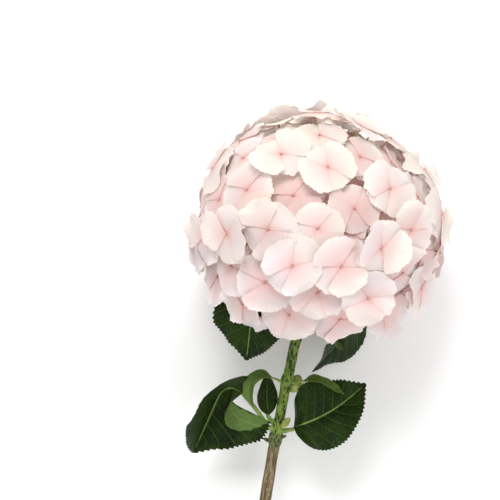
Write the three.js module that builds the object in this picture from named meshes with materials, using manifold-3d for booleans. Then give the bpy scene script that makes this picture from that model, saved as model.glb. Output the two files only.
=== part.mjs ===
// A cut mophead hydrangea, lying on a table as a florist lays it down.
//
// Lengths are millimetres and angles are radians. The part's frame has +Z up from the table,
// +Y along the table from the cut end towards the flower head, and its origin in the middle
// of the footprint. Everything is built in the flower's own frame first: there +Y runs up the
// stem, and the origin is the middle of the head. One group then leans that frame over, so
// that the head's underside and the stem's cut end both touch the table.
import * as THREE from 'three';
import { mergeVertices } from 'three/addons/utils/BufferGeometryUtils.js';
import Module from 'manifold-3d';

const wasm = await Module();
wasm.setup();

const { Vector3 } = THREE;
const degrees = THREE.MathUtils.degToRad;

// ---- Driving dimensions ----
const TOTAL_LENGTH = 450; // cut end to the crown of the head, along the stem
const HEAD_RADIUS = 101; // across the stem, out to the outermost florets
const HEAD_HALF_HEIGHT = 90; // along the stem, out to the outermost florets
const HEAD_SPREAD = degrees(133); // how far round from the crown the florets reach
const HEAD_TAPER = 0.06; // how much the head narrows towards its crown and widens towards the stem
const HEAD_PRESSED_BY = 10; // how far the head's own weight flattens it on the table

const CYME_COUNT = 28; // groups of three florets
const FLORETS_IN_CYME = 3;
const FLORET_REACH = degrees(13); // from a cyme's middle to its florets, seen from the centre
const FLORET_RADIUS = 21; // of the largest florets
const FLORET_DROOP = 2.2; // how far the sepals bend back, which follows the dome
const FLORET_NOTCH = 0.76; // rim radius between two sepals, as a share of the full one
const FLORET_GAP = 0.6; // between the rims of florets on the same level
const LEVEL_COUNT = 4; // neighbouring florets overlap like shingles, on this many levels
const LEVEL_STEP = 3;
const FLOOR_STEP = 1.3; // from level to level where florets lie on each other on the table
const SEPAL_THICKNESS = 0.8;
const SEPAL_COUNT = 4;
const PRESS_ANGLE = degrees(27); // florets this close to straight down lie flat on the table

const PEDICEL_RADIUS = 0.9;
const HUB_DEPTH = 0.68; // where a cyme's pedicels meet, as a share of the way out
const CYME_STALK = 7; // the stalk below that meeting point
const RAY_COUNT = 7;
const RAY_RADIUS = 1.8;
const TWIG_RADIUS = 1.3;
const RAY_FORK = 0.5; // where a ray forks, as a share of the way out to its cymes
const RAY_SPREAD = degrees(82); // the outer rays' angle from the crown

const NECK_DEPTH = 50; // the rays leave the shoot this far below the head's middle
const UPPER_NODE_DEPTH = 93;
const MIDDLE_NODE_DEPTH = 134;
const LOWER_NODE_DEPTH = 180; // where the green shoot grew from the old wood
const OLD_NODE_DEPTH = 278; // scars of last year's leaves
const SHOOT_RADIUS = 4.1;
const WOOD_RADIUS = 4.7;
const NODE_SWELL = 1.1; // how far a leaf node stands out of the stem
const KNOB_RADIUS = 5.8; // the shoot's end, from which the rays leave
const STEM_BOW = -5; // sideways, at the stem's half length
const STEM_SIDES = 10;

const PETIOLE_SIZE = 3.6; // across a leaf stalk
const BLADE_THICKNESS = 0.8;
const LEAF_ROWS = 11;
const LEAF_COLUMNS = 4;
const TIP_WIDTH = 0.02; // a blade's half width at its tip, as a share of the widest half
const LEAF_LIFT = 0.6; // the lowest that a blade's middle lies above the table

const CLEARANCE = 0.4; // between pieces that touch
const GOLDEN_ANGLE = Math.PI * (3 - Math.sqrt(5));

// ---- How the flower lies ----
const CUT_DEPTH = TOTAL_LENGTH - HEAD_HALF_HEIGHT;
const HEAD_HEIGHT = HEAD_RADIUS - HEAD_PRESSED_BY;
const LEAN = Math.asin(HEAD_HEIGHT / Math.hypot(CUT_DEPTH, WOOD_RADIUS))
  - Math.atan2(WOOD_RADIUS, CUT_DEPTH);
const UP = new Vector3(0, Math.sin(LEAN), Math.cos(LEAN)); // the table's up, in the flower's frame

const heightOf = (point) => point.dot(UP) + HEAD_HEIGHT;
const smooth = THREE.MathUtils.smoothstep;
const lerp = THREE.MathUtils.lerp;

// ---- Solids ----
function toSolid(geometry) {
  const bare = geometry.clone();
  bare.deleteAttribute('normal');
  bare.deleteAttribute('uv');
  const merged = mergeVertices(bare, 1e-4);
  return new wasm.Manifold(new wasm.Mesh({
    numProp: 3,
    vertProperties: merged.getAttribute('position').array,
    triVerts: new Uint32Array(merged.index.array),
  }));
}

function toGeometry(solid) {
  const { vertProperties, triVerts } = solid.getMesh();
  return new THREE.BufferGeometry()
    .setAttribute('position', new THREE.BufferAttribute(vertProperties, 3))
    .setIndex(new THREE.BufferAttribute(triVerts, 1));
}

function joined(geometries) {
  return toGeometry(geometries.map(toSolid).reduce((whole, piece) => whole.add(piece)));
}

// Moves every vertex of a geometry to where the function puts it.
function reshape(geometry, place) {
  const position = geometry.getAttribute('position');
  const point = new Vector3();
  for (let i = 0; i < position.count; i++) {
    point.fromBufferAttribute(position, i);
    position.setXYZ(i, ...place(point.clone()).toArray());
  }
  return geometry;
}

// A round stalk between two points.
function stalk(from, to, radius, sides, endRadius = radius) {
  const way = to.clone().sub(from);
  const turn = new THREE.Quaternion().setFromUnitVectors(new Vector3(0, 1, 0), way.clone().normalize());
  return new THREE.CylinderGeometry(endRadius, radius, way.length(), sides)
    .applyQuaternion(turn)
    .translate(...from.clone().add(to).multiplyScalar(0.5).toArray());
}

function mesh(name, geometry, material) {
  const made = new THREE.Mesh(geometry, material);
  made.name = name;
  return made;
}

// ---- Materials ----
const matte = (color, roughness) => new THREE.MeshStandardMaterial({ color, roughness, metalness: 0 });
const sepalMaterial = matte(0xf4e3dc, 0.62);
const leafMaterial = matte(0x38512a, 0.5);
const shootMaterial = matte(0x86a053, 0.55);
const woodMaterial = matte(0xa68e74, 0.8);
const rayMaterial = matte(0xc9d1a0, 0.6);
const budMaterial = matte(0xa9b35c, 0.55);

// ---- The head's florets ----
const directionAt = (polar, around) => new Vector3(
  Math.sin(polar) * Math.cos(around),
  Math.cos(polar),
  Math.sin(polar) * Math.sin(around),
);

// Unit directions of the florets. The cymes follow a golden-angle spiral down from the crown, and
// three florets stand round each cyme's middle.
function floretDirections() {
  const directions = [];
  for (let cyme = 0; cyme < CYME_COUNT; cyme++) {
    const share = (cyme + 0.5) / CYME_COUNT;
    const polar = Math.acos(lerp(1, Math.cos(HEAD_SPREAD), share));
    const around = cyme * GOLDEN_ANGLE;
    const middle = directionAt(polar, around);
    const sideways = new Vector3(-Math.sin(around), 0, Math.cos(around));
    const downwards = middle.clone().cross(sideways);
    for (let k = 0; k < FLORETS_IN_CYME; k++) {
      const turn = (2 * Math.PI * k) / FLORETS_IN_CYME + cyme;
      directions.push(middle.clone()
        .addScaledVector(sideways, Math.tan(FLORET_REACH) * Math.cos(turn))
        .addScaledVector(downwards, Math.tan(FLORET_REACH) * Math.sin(turn))
        .normalize());
    }
  }
  return directions;
}

// Florets that stand too close push each other along the dome until they are evenly spread.
function evenOut(directions) {
  const passes = 60;
  const stiffness = 0.35;
  const capArea = 2 * Math.PI * (1 - Math.cos(HEAD_SPREAD));
  const spacing = 1.07 * Math.sqrt((capArea / directions.length) * (2 / Math.sqrt(3)));
  for (let pass = 0; pass < passes; pass++) {
    const pushes = directions.map(() => new Vector3());
    for (let i = 0; i < directions.length; i++) {
      for (let j = i + 1; j < directions.length; j++) {
        const away = directions[i].clone().sub(directions[j]);
        const shortfall = spacing - away.length();
        if (shortfall > 0) {
          away.setLength(stiffness * shortfall);
          pushes[i].add(away);
          pushes[j].sub(away);
        }
      }
    }
    directions.forEach((direction, i) => {
      direction.add(pushes[i]).normalize();
      if (direction.y < Math.cos(HEAD_SPREAD)) {
        const around = Math.atan2(direction.z, direction.x);
        direction.copy(directionAt(HEAD_SPREAD, around));
      }
    });
  }
  return directions;
}

// Each floret's place on the dome and how large it is. A floret takes the level on which it has
// the most room, and a few at the bottom are pressed flat on the table.
function placeFlorets(directions) {
  const dome = new Vector3(HEAD_RADIUS, HEAD_HALF_HEIGHT, HEAD_RADIUS);
  const down = UP.clone().negate();
  const florets = [];
  for (const direction of directions) {
    const facing = direction.clone().divide(dome).normalize();
    const pressed = facing.angleTo(down) < PRESS_ANGLE;
    const taper = 1 - HEAD_TAPER * direction.y;
    const onSurface = direction.clone().multiply(dome).multiply(new Vector3(taper, 1, taper));
    const choices = Array.from({ length: LEVEL_COUNT }, (_, level) => {
      const centre = onSurface.clone().addScaledVector(facing, -LEVEL_STEP * level);
      return { centre, level, facing, pressed, room: roomAt(centre, level, florets) };
    });
    const roomiest = choices.reduce((best, choice) => (choice.room > best.room ? choice : best));
    if (pressed) {
      roomiest.level = -1;
      roomiest.facing = down;
      roomiest.centre.addScaledVector(UP, SEPAL_THICKNESS / 2 - heightOf(roomiest.centre));
    }
    florets.push(roomiest);
  }
  for (const floret of florets) {
    const others = florets.filter((other) => other !== floret);
    const room = roomAt(floret.centre, floret.level, others);
    floret.radius = Math.min(FLORET_RADIUS, (room - FLORET_GAP) / 2);
  }
  return florets;
}

// The distance from a point to the nearest floret on a level.
function roomAt(point, level, florets) {
  const sameLevel = florets.filter((floret) => floret.level === level);
  return Math.min(...sameLevel.map((floret) => point.distanceTo(floret.centre)), Infinity);
}

// A floret's four sepals as one lobed disc. Where the table would cut it, it lies on the table, or
// on the florets that already do.
function sepalGeometry({ centre, facing, radius, level, pressed }, index) {
  const rimPoints = 3 * SEPAL_COUNT;
  const droop = pressed ? 0 : FLORET_DROOP * (radius / FLORET_RADIUS) ** 2;
  const floor = pressed ? 0 : FLOOR_STEP * (level + 1);
  const turn = new THREE.Quaternion()
    .setFromUnitVectors(new Vector3(0, 1, 0), facing)
    .multiply(new THREE.Quaternion().setFromAxisAngle(new Vector3(0, 1, 0), index * GOLDEN_ANGLE));
  const disc = new THREE.CylinderGeometry(radius, radius, SEPAL_THICKNESS, rimPoints);
  return reshape(disc, (p) => {
    const innerFace = p.y < 0;
    if (Math.hypot(p.x, p.z) > 1) {
      const around = Math.round((Math.atan2(p.z, p.x) / (2 * Math.PI)) * rimPoints);
      const reach = around % 3 === 0 ? FLORET_NOTCH : 1;
      p.set(p.x * reach, p.y - droop * reach, p.z * reach);
    }
    p.applyQuaternion(turn).add(centre);
    const lowest = floor + (innerFace ? SEPAL_THICKNESS : 0);
    return p.addScaledVector(UP, Math.max(0, lowest - heightOf(p)));
  });
}

const bowAt = (y) => STEM_BOW * Math.sin((Math.PI * (y + CUT_DEPTH)) / (CUT_DEPTH - NECK_DEPTH));
const stemPoint = (depth) => new Vector3(bowAt(-depth), -depth, 0);
const neck = stemPoint(NECK_DEPTH);

// The cymes: each has its florets and the hub where their stalks meet.
function makeCymes() {
  const florets = placeFlorets(evenOut(floretDirections()));
  const cymes = [];
  for (let c = 0; c < CYME_COUNT; c++) {
    const own = florets.slice(c * FLORETS_IN_CYME, (c + 1) * FLORETS_IN_CYME);
    const hub = own
      .reduce((sum, floret) => sum.add(floret.centre), new Vector3())
      .multiplyScalar(HUB_DEPTH / FLORETS_IN_CYME);
    cymes.push({ florets: own, hub });
  }
  return cymes;
}

// A floret's stalk ends inside its sepals, just above the table where they are pressed.
function pedicelEnd({ centre, facing, pressed }) {
  return pressed ? centre.clone().addScaledVector(facing, -SEPAL_THICKNESS / 2) : centre;
}

function cymeGeometry({ florets, hub, foot }) {
  return joined([
    stalk(foot, hub, TWIG_RADIUS, 5, PEDICEL_RADIUS),
    ...florets.map((floret) => stalk(hub, pedicelEnd(floret), PEDICEL_RADIUS, 3)),
    ...florets.map(sepalGeometry),
  ]);
}

// ---- The rays that carry the cymes ----
// One ray goes to the crown and the others stand round it. Each cyme belongs to the nearest ray,
// and its foot is on the straight line to that ray's fork.
function rayDirections() {
  const outer = RAY_COUNT - 1;
  const ring = Array.from({ length: outer }, (_, k) => directionAt(RAY_SPREAD, (2 * Math.PI * k) / outer));
  return [new Vector3(0, 1, 0), ...ring];
}

function makeRays(cymes) {
  const directions = rayDirections();
  const groups = directions.map(() => []);
  for (const cyme of cymes) {
    const angles = directions.map((direction) => direction.angleTo(cyme.hub));
    groups[angles.indexOf(Math.min(...angles))].push(cyme);
  }
  return groups.map((group) => {
    const middle = group
      .reduce((sum, cyme) => sum.add(cyme.hub), new Vector3())
      .multiplyScalar(1 / group.length);
    const fork = neck.clone().lerp(middle, RAY_FORK);
    for (const cyme of group) {
      cyme.inward = fork.clone().sub(cyme.hub).normalize();
      cyme.foot = cyme.hub.clone().addScaledVector(cyme.inward, CYME_STALK);
    }
    return { fork, group };
  });
}

function rayGeometry({ fork, group }) {
  const outward = fork.clone().sub(neck).normalize();
  const root = neck.clone().addScaledVector(outward, KNOB_RADIUS + CLEARANCE);
  const twigs = group.map(({ foot, inward }) => {
    const end = foot.clone().addScaledVector(inward, CLEARANCE);
    return stalk(fork, end, TWIG_RADIUS, 5);
  });
  return joined([stalk(root, fork, RAY_RADIUS, 6), ...twigs]);
}

// ---- The stem ----
// A stem between two depths, turned from a profile of [depth, radius] pairs and slightly bowed.
function stemGeometry(profile) {
  const ends = [profile[0][0], profile[profile.length - 1][0]];
  const points = [
    new THREE.Vector2(0, -ends[0]),
    ...profile.map(([depth, radius]) => new THREE.Vector2(radius, -depth)),
    new THREE.Vector2(0, -ends[1]),
  ];
  return reshape(new THREE.LatheGeometry(points, STEM_SIDES), (p) => p.setX(p.x + bowAt(p.y)));
}

const shootRadiusAt = (depth) => lerp(SHOOT_RADIUS + 0.4, SHOOT_RADIUS, depth / LOWER_NODE_DEPTH);

// The profile of a leaf node: a ring that stands out of the stem, softened on both sides.
function nodeRing(depth, radius) {
  const half = 5;
  return [
    [depth + 2 * half, radius],
    [depth + half * 0.4, radius + NODE_SWELL],
    [depth - half * 0.4, radius + NODE_SWELL],
    [depth - 2 * half, radius],
  ];
}

// The profile of the round knob that ends the shoot, from which the rays leave.
function knobProfile() {
  const start = Math.asin(SHOOT_RADIUS / KNOB_RADIUS);
  const steps = 5;
  return Array.from({ length: steps }, (_, k) => {
    const angle = lerp(start, Math.PI - 0.4, k / (steps - 1));
    return [NECK_DEPTH + KNOB_RADIUS * Math.cos(angle), KNOB_RADIUS * Math.sin(angle)];
  });
}

const woodProfile = [
  [CUT_DEPTH, WOOD_RADIUS],
  [CUT_DEPTH - 40, WOOD_RADIUS],
  ...nodeRing(OLD_NODE_DEPTH, WOOD_RADIUS),
  [LOWER_NODE_DEPTH + 22, WOOD_RADIUS - 0.3],
  [LOWER_NODE_DEPTH + 12, WOOD_RADIUS + 0.2],
  [LOWER_NODE_DEPTH + 7, WOOD_RADIUS + 1],
  [LOWER_NODE_DEPTH + CLEARANCE, WOOD_RADIUS + 0.7],
];

const shootProfile = [
  [LOWER_NODE_DEPTH, SHOOT_RADIUS + 1.2],
  [LOWER_NODE_DEPTH - 4, SHOOT_RADIUS + 0.9],
  [LOWER_NODE_DEPTH - 12, shootRadiusAt(LOWER_NODE_DEPTH)],
  ...nodeRing(MIDDLE_NODE_DEPTH, shootRadiusAt(MIDDLE_NODE_DEPTH)),
  ...nodeRing(UPPER_NODE_DEPTH, shootRadiusAt(UPPER_NODE_DEPTH)),
  ...knobProfile(),
];

// ---- Leaves ----
// around: which side of the stem the leaf is on, counted from +X towards +Z.
// rise, turn and droop: the midrib's angle to the stem at its root, where the blade starts and at
// its tip. bend: the share of the blade in which it reaches its droop. fold: how far each half
// blade is folded up along the midrib. twist: how far the blade turns about its midrib, so that
// its upper face looks up from the table. sag: how far the tip hangs below where the midrib points.
const leaves = [
  {
    name: 'upper_leaf_left', depth: UPPER_NODE_DEPTH, around: degrees(139), petiole: 32,
    blade: 60, width: 62, rise: 16, turn: 74, droop: 184, bend: 0.6, fold: 12, twist: -24, sag: 0,
  },
  {
    name: 'upper_leaf_right', depth: UPPER_NODE_DEPTH, around: degrees(-34), petiole: 24,
    blade: 66, width: 58, rise: 56, turn: 80, droop: 220, bend: 0.55, fold: 12, twist: 60, sag: 14,
  },
  {
    name: 'side_leaf_left', depth: MIDDLE_NODE_DEPTH, around: degrees(156), petiole: 8,
    blade: 42, width: 13, rise: 66, turn: 80, droop: 206, bend: 0.8, fold: 26, twist: -20, sag: 0,
  },
  {
    name: 'side_leaf_right', depth: MIDDLE_NODE_DEPTH, around: degrees(16), petiole: 8,
    blade: 36, width: 12, rise: 52, turn: 74, droop: 104, bend: 0.6, fold: 26, twist: 15, sag: 2,
  },
  {
    name: 'lower_leaf_left', depth: LOWER_NODE_DEPTH - 4, around: degrees(174), petiole: 36,
    blade: 78, width: 76, rise: 38, turn: 54, droop: 166, bend: 0.35, fold: 48, twist: -118, sag: 13,
  },
  {
    name: 'lower_leaf_right', depth: LOWER_NODE_DEPTH - 4, around: degrees(10), petiole: 8,
    blade: 72, width: 58, rise: 60, turn: 58, droop: 38, bend: 0.9, fold: 14, twist: 70, sag: 14,
  },
  {
    name: 'axil_leaf', depth: LOWER_NODE_DEPTH - 9, around: degrees(205), petiole: 5,
    blade: 36, width: 17, rise: 44, turn: 24, droop: 10, bend: 0.5, fold: 18, twist: -50, sag: 0,
  },
];

// Half the blade's width at a share of its length, as a share of the widest half.
function bladeOutline(share) {
  return Math.max(TIP_WIDTH, Math.sin(Math.PI * Math.pow(share, 0.72)) ** 0.8);
}

// The leaf's midrib, petiole first, as a smooth curve in the flower's frame.
function midribOf(leaf) {
  const steps = 40;
  const length = leaf.petiole + leaf.blade;
  const outward = new Vector3(Math.cos(leaf.around), 0, Math.sin(leaf.around));
  const rootSlope = Math.cos(degrees(leaf.rise));
  const rootRadius = shootRadiusAt(leaf.depth) + NODE_SWELL + CLEARANCE + (PETIOLE_SIZE / 2) * rootSlope;
  const point = stemPoint(leaf.depth).addScaledVector(outward, rootRadius);
  const points = [point.clone()];
  for (let i = 0; i < steps; i++) {
    const gone = ((i + 0.5) / steps) * length;
    const onPetiole = Math.min(1, gone / leaf.petiole);
    const onBlade = smooth(gone, leaf.petiole, leaf.petiole + leaf.bend * leaf.blade);
    const angle = degrees(lerp(lerp(leaf.rise, leaf.turn, onPetiole), leaf.droop, onBlade));
    point.addScaledVector(outward, (Math.sin(angle) * length) / steps);
    point.y += (Math.cos(angle) * length) / steps;
    const hang = leaf.sag * ((i + 1) / steps) ** 2;
    points.push(point.clone().addScaledVector(UP, -hang));
  }
  return new THREE.CatmullRomCurve3(points);
}

function leafGeometry(leaf) {
  const midrib = midribOf(leaf);
  const outOfPlane = new Vector3(-Math.sin(leaf.around), 0, Math.cos(leaf.around));
  const bladeStart = leaf.petiole / (leaf.petiole + leaf.blade);
  const fold = degrees(leaf.fold);
  // A flat plate, 2 wide from -1 to 1 and 1 long from 0 at the root to 1 at the tip.
  const plate = new THREE.BoxGeometry(2, 1, 2, LEAF_COLUMNS, LEAF_ROWS, 1).translate(0, 0.5, 0);
  return reshape(plate, ({ x: across, y: along, z: side }) => {
    const share = Math.max(0, (along - bladeStart) / (1 - bladeStart));
    const onBlade = smooth(share, 0, 0.12);
    const halfWidth = lerp(PETIOLE_SIZE / 2, (leaf.width / 2) * bladeOutline(share), onBlade);
    const thickness = lerp(PETIOLE_SIZE, BLADE_THICKNESS, onBlade);
    const tangent = midrib.getTangentAt(along);
    const turned = degrees(leaf.twist) * smooth(along, 0, bladeStart + 0.15);
    const sideways = outOfPlane.clone().projectOnPlane(tangent).normalize().applyAxisAngle(tangent, turned);
    const upper = sideways.clone().cross(tangent);
    const rise = Math.abs(across) * halfWidth * Math.sin(fold) * onBlade;
    const point = midrib.getPointAt(along)
      .addScaledVector(sideways, across * halfWidth)
      .addScaledVector(upper, rise);
    const sunk = LEAF_LIFT - heightOf(point);
    if (sunk > 0) point.addScaledVector(UP, sunk);
    return point.addScaledVector(upper, (side * thickness) / 2);
  });
}

// ---- Buds ----
const buds = [
  { name: 'middle_bud', depth: MIDDLE_NODE_DEPTH + 4, around: degrees(-48), length: 15, width: 11 },
  { name: 'lower_bud', depth: LOWER_NODE_DEPTH - 12, around: degrees(52), length: 13, width: 5 },
];

function budGeometry({ depth, around, length, width }) {
  const lean = degrees(35);
  const outward = new Vector3(Math.cos(around), 0, Math.sin(around));
  const away = shootRadiusAt(depth) + NODE_SWELL + CLEARANCE
    + Math.hypot((length / 2) * Math.sin(lean), (width / 2) * Math.cos(lean));
  const centre = stemPoint(depth).addScaledVector(outward, away);
  const axis = new Vector3(0, Math.cos(lean), 0).addScaledVector(outward, Math.sin(lean));
  const turn = new THREE.Quaternion().setFromUnitVectors(new Vector3(0, 1, 0), axis);
  return new THREE.SphereGeometry(0.5, 8, 6)
    .scale(width, length, width)
    .applyQuaternion(turn)
    .translate(...centre.toArray());
}

// ---- The flower ----
const flower = new THREE.Group();
flower.rotation.x = LEAN;
flower.position.z = HEAD_HEIGHT;

const numbered = (stem, index) => `${stem}_${String(index + 1).padStart(2, '0')}`;
const cymes = makeCymes();
const rays = makeRays(cymes);
cymes.forEach((cyme, c) => flower.add(mesh(numbered('cyme', c), cymeGeometry(cyme), sepalMaterial)));
rays.forEach((ray, r) => flower.add(mesh(numbered('ray', r), rayGeometry(ray), rayMaterial)));
flower.add(mesh('woody_stem', stemGeometry(woodProfile), woodMaterial));
flower.add(mesh('green_shoot', stemGeometry(shootProfile), shootMaterial));
leaves.forEach((leaf) => flower.add(mesh(leaf.name, leafGeometry(leaf), leafMaterial)));
buds.forEach((bud) => flower.add(mesh(bud.name, budGeometry(bud), budMaterial)));

// The whole part, moved so that its footprint is centred on the origin.
const hydrangea = new THREE.Group();
hydrangea.add(flower);
const extent = new THREE.Box3().setFromObject(hydrangea, true);
const middle = extent.getCenter(new Vector3());
hydrangea.position.set(-middle.x, -middle.y, -extent.min.z);

export default hydrangea;
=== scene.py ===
# %% [markdown]
# # A cut mophead hydrangea
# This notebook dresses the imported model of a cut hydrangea. The flower lies on its side on a
# pale table: a domed head of some 130 florets, a spotted green shoot with broad toothed
# leaves, and a piece of last year's wood that ends in a clean cut.
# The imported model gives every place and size. Here each of its plain solids is replaced by a
# finished piece, with the curves, edges, veins and colours that the real plant has.

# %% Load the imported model
import math
import random
from contextlib import contextmanager

import bpy
import numpy as np
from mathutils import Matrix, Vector
from mathutils.bvhtree import BVHTree


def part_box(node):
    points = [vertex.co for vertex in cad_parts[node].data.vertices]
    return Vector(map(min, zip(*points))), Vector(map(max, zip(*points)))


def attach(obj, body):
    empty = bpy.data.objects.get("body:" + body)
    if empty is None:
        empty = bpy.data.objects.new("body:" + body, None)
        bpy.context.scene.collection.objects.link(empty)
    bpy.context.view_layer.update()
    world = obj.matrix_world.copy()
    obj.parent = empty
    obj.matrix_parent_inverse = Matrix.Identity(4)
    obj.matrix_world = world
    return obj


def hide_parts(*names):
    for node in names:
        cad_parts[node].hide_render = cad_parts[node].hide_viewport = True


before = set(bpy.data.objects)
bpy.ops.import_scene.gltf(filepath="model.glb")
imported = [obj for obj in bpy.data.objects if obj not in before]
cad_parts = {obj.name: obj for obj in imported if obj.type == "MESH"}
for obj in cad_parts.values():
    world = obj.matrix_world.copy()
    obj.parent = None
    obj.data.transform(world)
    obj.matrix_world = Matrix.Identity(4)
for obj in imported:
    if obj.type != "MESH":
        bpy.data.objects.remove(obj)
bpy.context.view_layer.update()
bpy.ops.object.select_all(action="DESELECT")

# %% [markdown]
# ## The flower's own frame
# A flower is easiest to build standing up: +Y runs up the stem and the middle of the head is the
# origin. The real one lies down, so one lean and one shift take every point from that upright
# frame to the table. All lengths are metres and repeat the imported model's own sizes.

# %% Sizes of the head, the stem and the lean
HEAD_CENTRE = np.array([0.001575, 0.130663, 0.0910])
LEAN = math.radians(13.892687)
HEAD_RADIUS = 0.101
HEAD_HALF_HEIGHT = 0.090
HEAD_SPREAD = math.radians(133)
HEAD_TAPER = 0.06
CYME_COUNT = 28
FLORETS_IN_CYME = 3
FLORET_RADIUS = 0.021
CUT_DEPTH = 0.360
NECK_DEPTH = 0.050
UPPER_NODE, MIDDLE_NODE, LOWER_NODE, OLD_NODE = 0.093, 0.134, 0.180, 0.278
SHOOT_RADIUS = 0.0041
WOOD_RADIUS = 0.0047
NODE_SWELL = 0.0011
KNOB_RADIUS = 0.0058
STEM_BOW = -0.005
CLEARANCE = 0.0004
GOLDEN_ANGLE = math.pi * (3 - math.sqrt(5))
UP = np.array([0.0, math.sin(LEAN), math.cos(LEAN)])  # the table's up, seen by the upright flower
print("lean in degrees:", round(math.degrees(LEAN), 2))


# %% From the upright flower to the table
def lay_down(points):
    """Takes points of the upright flower to their places on the table."""
    p = np.atleast_2d(points)
    c, s = math.cos(LEAN), math.sin(LEAN)
    laid = np.column_stack([p[:, 0], p[:, 1] * c - p[:, 2] * s, p[:, 1] * s + p[:, 2] * c])
    return laid + HEAD_CENTRE


def height_of(points):
    """How high above the table points of the upright flower end up."""
    return np.atleast_2d(points) @ UP + HEAD_CENTRE[2]


def bow_at(y):
    """The stem's sideways bow at a place along it."""
    return STEM_BOW * np.sin(math.pi * (y + CUT_DEPTH) / (CUT_DEPTH - NECK_DEPTH))


def stem_point(depth):
    return np.array([float(bow_at(-depth)), -depth, 0.0])


def away_from_stem(around):
    return np.array([math.cos(around), 0, math.sin(around)])


def leaning_axes(outward, lean):
    """Three axes for something that grows from the stem: sideways, out of its back, and along it."""
    along = outward * math.sin(lean) + np.array([0, 1, 0]) * math.cos(lean)
    side = np.cross(outward, [0, 1, 0])
    return side, np.cross(side, along), along


def unit(vector):
    return vector / np.linalg.norm(vector)


def unit_rows(vectors):
    return vectors / np.linalg.norm(vectors, axis=1)[:, None]


def smooth(x, low, high):
    """0 below low, 1 above high, and a soft step between them."""
    t = np.clip((x - low) / (high - low), 0, 1)
    return t * t * (3 - 2 * t)


print("cut end's middle on the table:", np.round(lay_down(stem_point(CUT_DEPTH)), 4))

# %% [markdown]
# ## Camera
# The flower lies down, so the camera hangs above it and looks straight down. It is turned a
# little about its own axis, which makes the stem climb to the right, and it is moved so that the
# stem runs out of the picture's lower edge. A long lens from well above keeps the head round.

# %% Camera
CAMERA_ROLL = math.radians(9.5)
CAMERA_HEIGHT = 1.7
FRAME_WIDTH = 0.400
HEAD_OFFSET = (0.0555, 0.0215)  # the head's middle from the picture's middle, right and up

right = np.array([math.cos(CAMERA_ROLL), math.sin(CAMERA_ROLL)])
upward = np.array([-math.sin(CAMERA_ROLL), math.cos(CAMERA_ROLL)])
aim = HEAD_CENTRE[:2] - HEAD_OFFSET[0] * right - HEAD_OFFSET[1] * upward
bpy.ops.object.camera_add(
    location=(aim[0], aim[1], HEAD_CENTRE[2] + CAMERA_HEIGHT), rotation=(0, 0, CAMERA_ROLL)
)
camera = bpy.context.object
camera.data.lens = camera.data.sensor_width * CAMERA_HEIGHT / FRAME_WIDTH
camera.data.clip_end = 20
bpy.context.scene.camera = camera
print("lens in millimetres:", round(camera.data.lens, 1))

# %% [markdown]
# ## Table and light
# A white sweep of paper in a studio is lit from a large soft box behind the flower's head, with
# weaker fill from the other side and light bouncing from everywhere. Petals are nearly white, so
# the light has to stay soft, yet come mostly from one side: only shade tells one from the next.

# %% Table
bpy.ops.mesh.primitive_plane_add(size=6, location=(0, 0, 0))
table = bpy.context.object
table.name = "table"
paper = bpy.data.materials.new("white_paper")
paper.use_nodes = True
paper_shader = paper.node_tree.nodes["Principled BSDF"]
paper_shader.inputs["Base Color"].default_value = (0.94, 0.94, 0.94, 1)
paper_shader.inputs["Roughness"].default_value = 0.9
table.data.materials.append(paper)


# %% Lights
def soft_box(name, place, aim_at, size, watts):
    bpy.ops.object.light_add(type="AREA", location=place)
    lamp = bpy.context.object
    lamp.name = name
    lamp.data.shape = "DISK"
    lamp.data.size = size
    lamp.data.energy = watts
    lamp.rotation_euler = (Vector(aim_at) - Vector(place)).to_track_quat("-Z", "Y").to_euler()


soft_box("key_light", (-0.45, 1.15, 1.60), (0, 0.08, 0.08), 0.8, 21)
soft_box("fill_light", (0.9, -0.9, 1.3), (0, 0.05, 0.05), 1.2, 9)
world = bpy.data.worlds.new("studio")
bpy.context.scene.world = world
world.use_nodes = True
world.node_tree.nodes["Background"].inputs["Color"].default_value = (1, 1, 1, 1)
world.node_tree.nodes["Background"].inputs["Strength"].default_value = 0.80
bpy.context.scene.view_settings.view_transform = "Standard"

# %% [markdown]
# ## Helpers for shaping
# Plants have no straight edges. Each piece starts as a primitive with the right number of rows
# and columns, and one function then says where every vertex goes. `read` and `write` move the
# vertices as one array, which is quick enough to try many shapes for each petal.


# %% Reading and writing vertices
def read(piece):
    flat = np.empty(len(piece.data.vertices) * 3)
    piece.data.vertices.foreach_get("co", flat)
    return flat.reshape(-1, 3)


def write(piece, points):
    piece.data.vertices.foreach_set("co", np.ascontiguousarray(points, dtype=float).ravel())
    piece.data.update()


def place_egg(piece, centre, axes, x, y, z):
    """Lays down a ball that was stretched along three axes of the upright flower."""
    write(piece, lay_down(centre + np.outer(x, axes[0]) + np.outer(y, axes[1]) + np.outer(z, axes[2])))


def copy_of(pattern, name):
    """A copy with its own mesh, linked into the scene."""
    piece = pattern.copy()
    piece.data = pattern.data.copy()
    piece.name = name
    bpy.context.collection.objects.link(piece)
    return piece


def only(*pieces):
    """Selects these pieces and nothing else, and makes the first one active."""
    bpy.ops.object.select_all(action="DESELECT")
    for piece in pieces:
        piece.select_set(True)
    bpy.context.view_layer.objects.active = pieces[0]


def join(name, pieces):
    only(*pieces)
    if len(pieces) > 1:
        bpy.ops.object.join()
    joined = bpy.context.object
    joined.name = name
    joined.data.name = name
    return joined


@contextmanager
def edit_mode(selection="SELECT"):
    """Opens the active piece for editing with everything or nothing selected, and closes it again."""
    bpy.ops.object.mode_set(mode="EDIT")
    bpy.ops.mesh.select_all(action=selection)
    yield
    bpy.ops.object.mode_set(mode="OBJECT")


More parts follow.
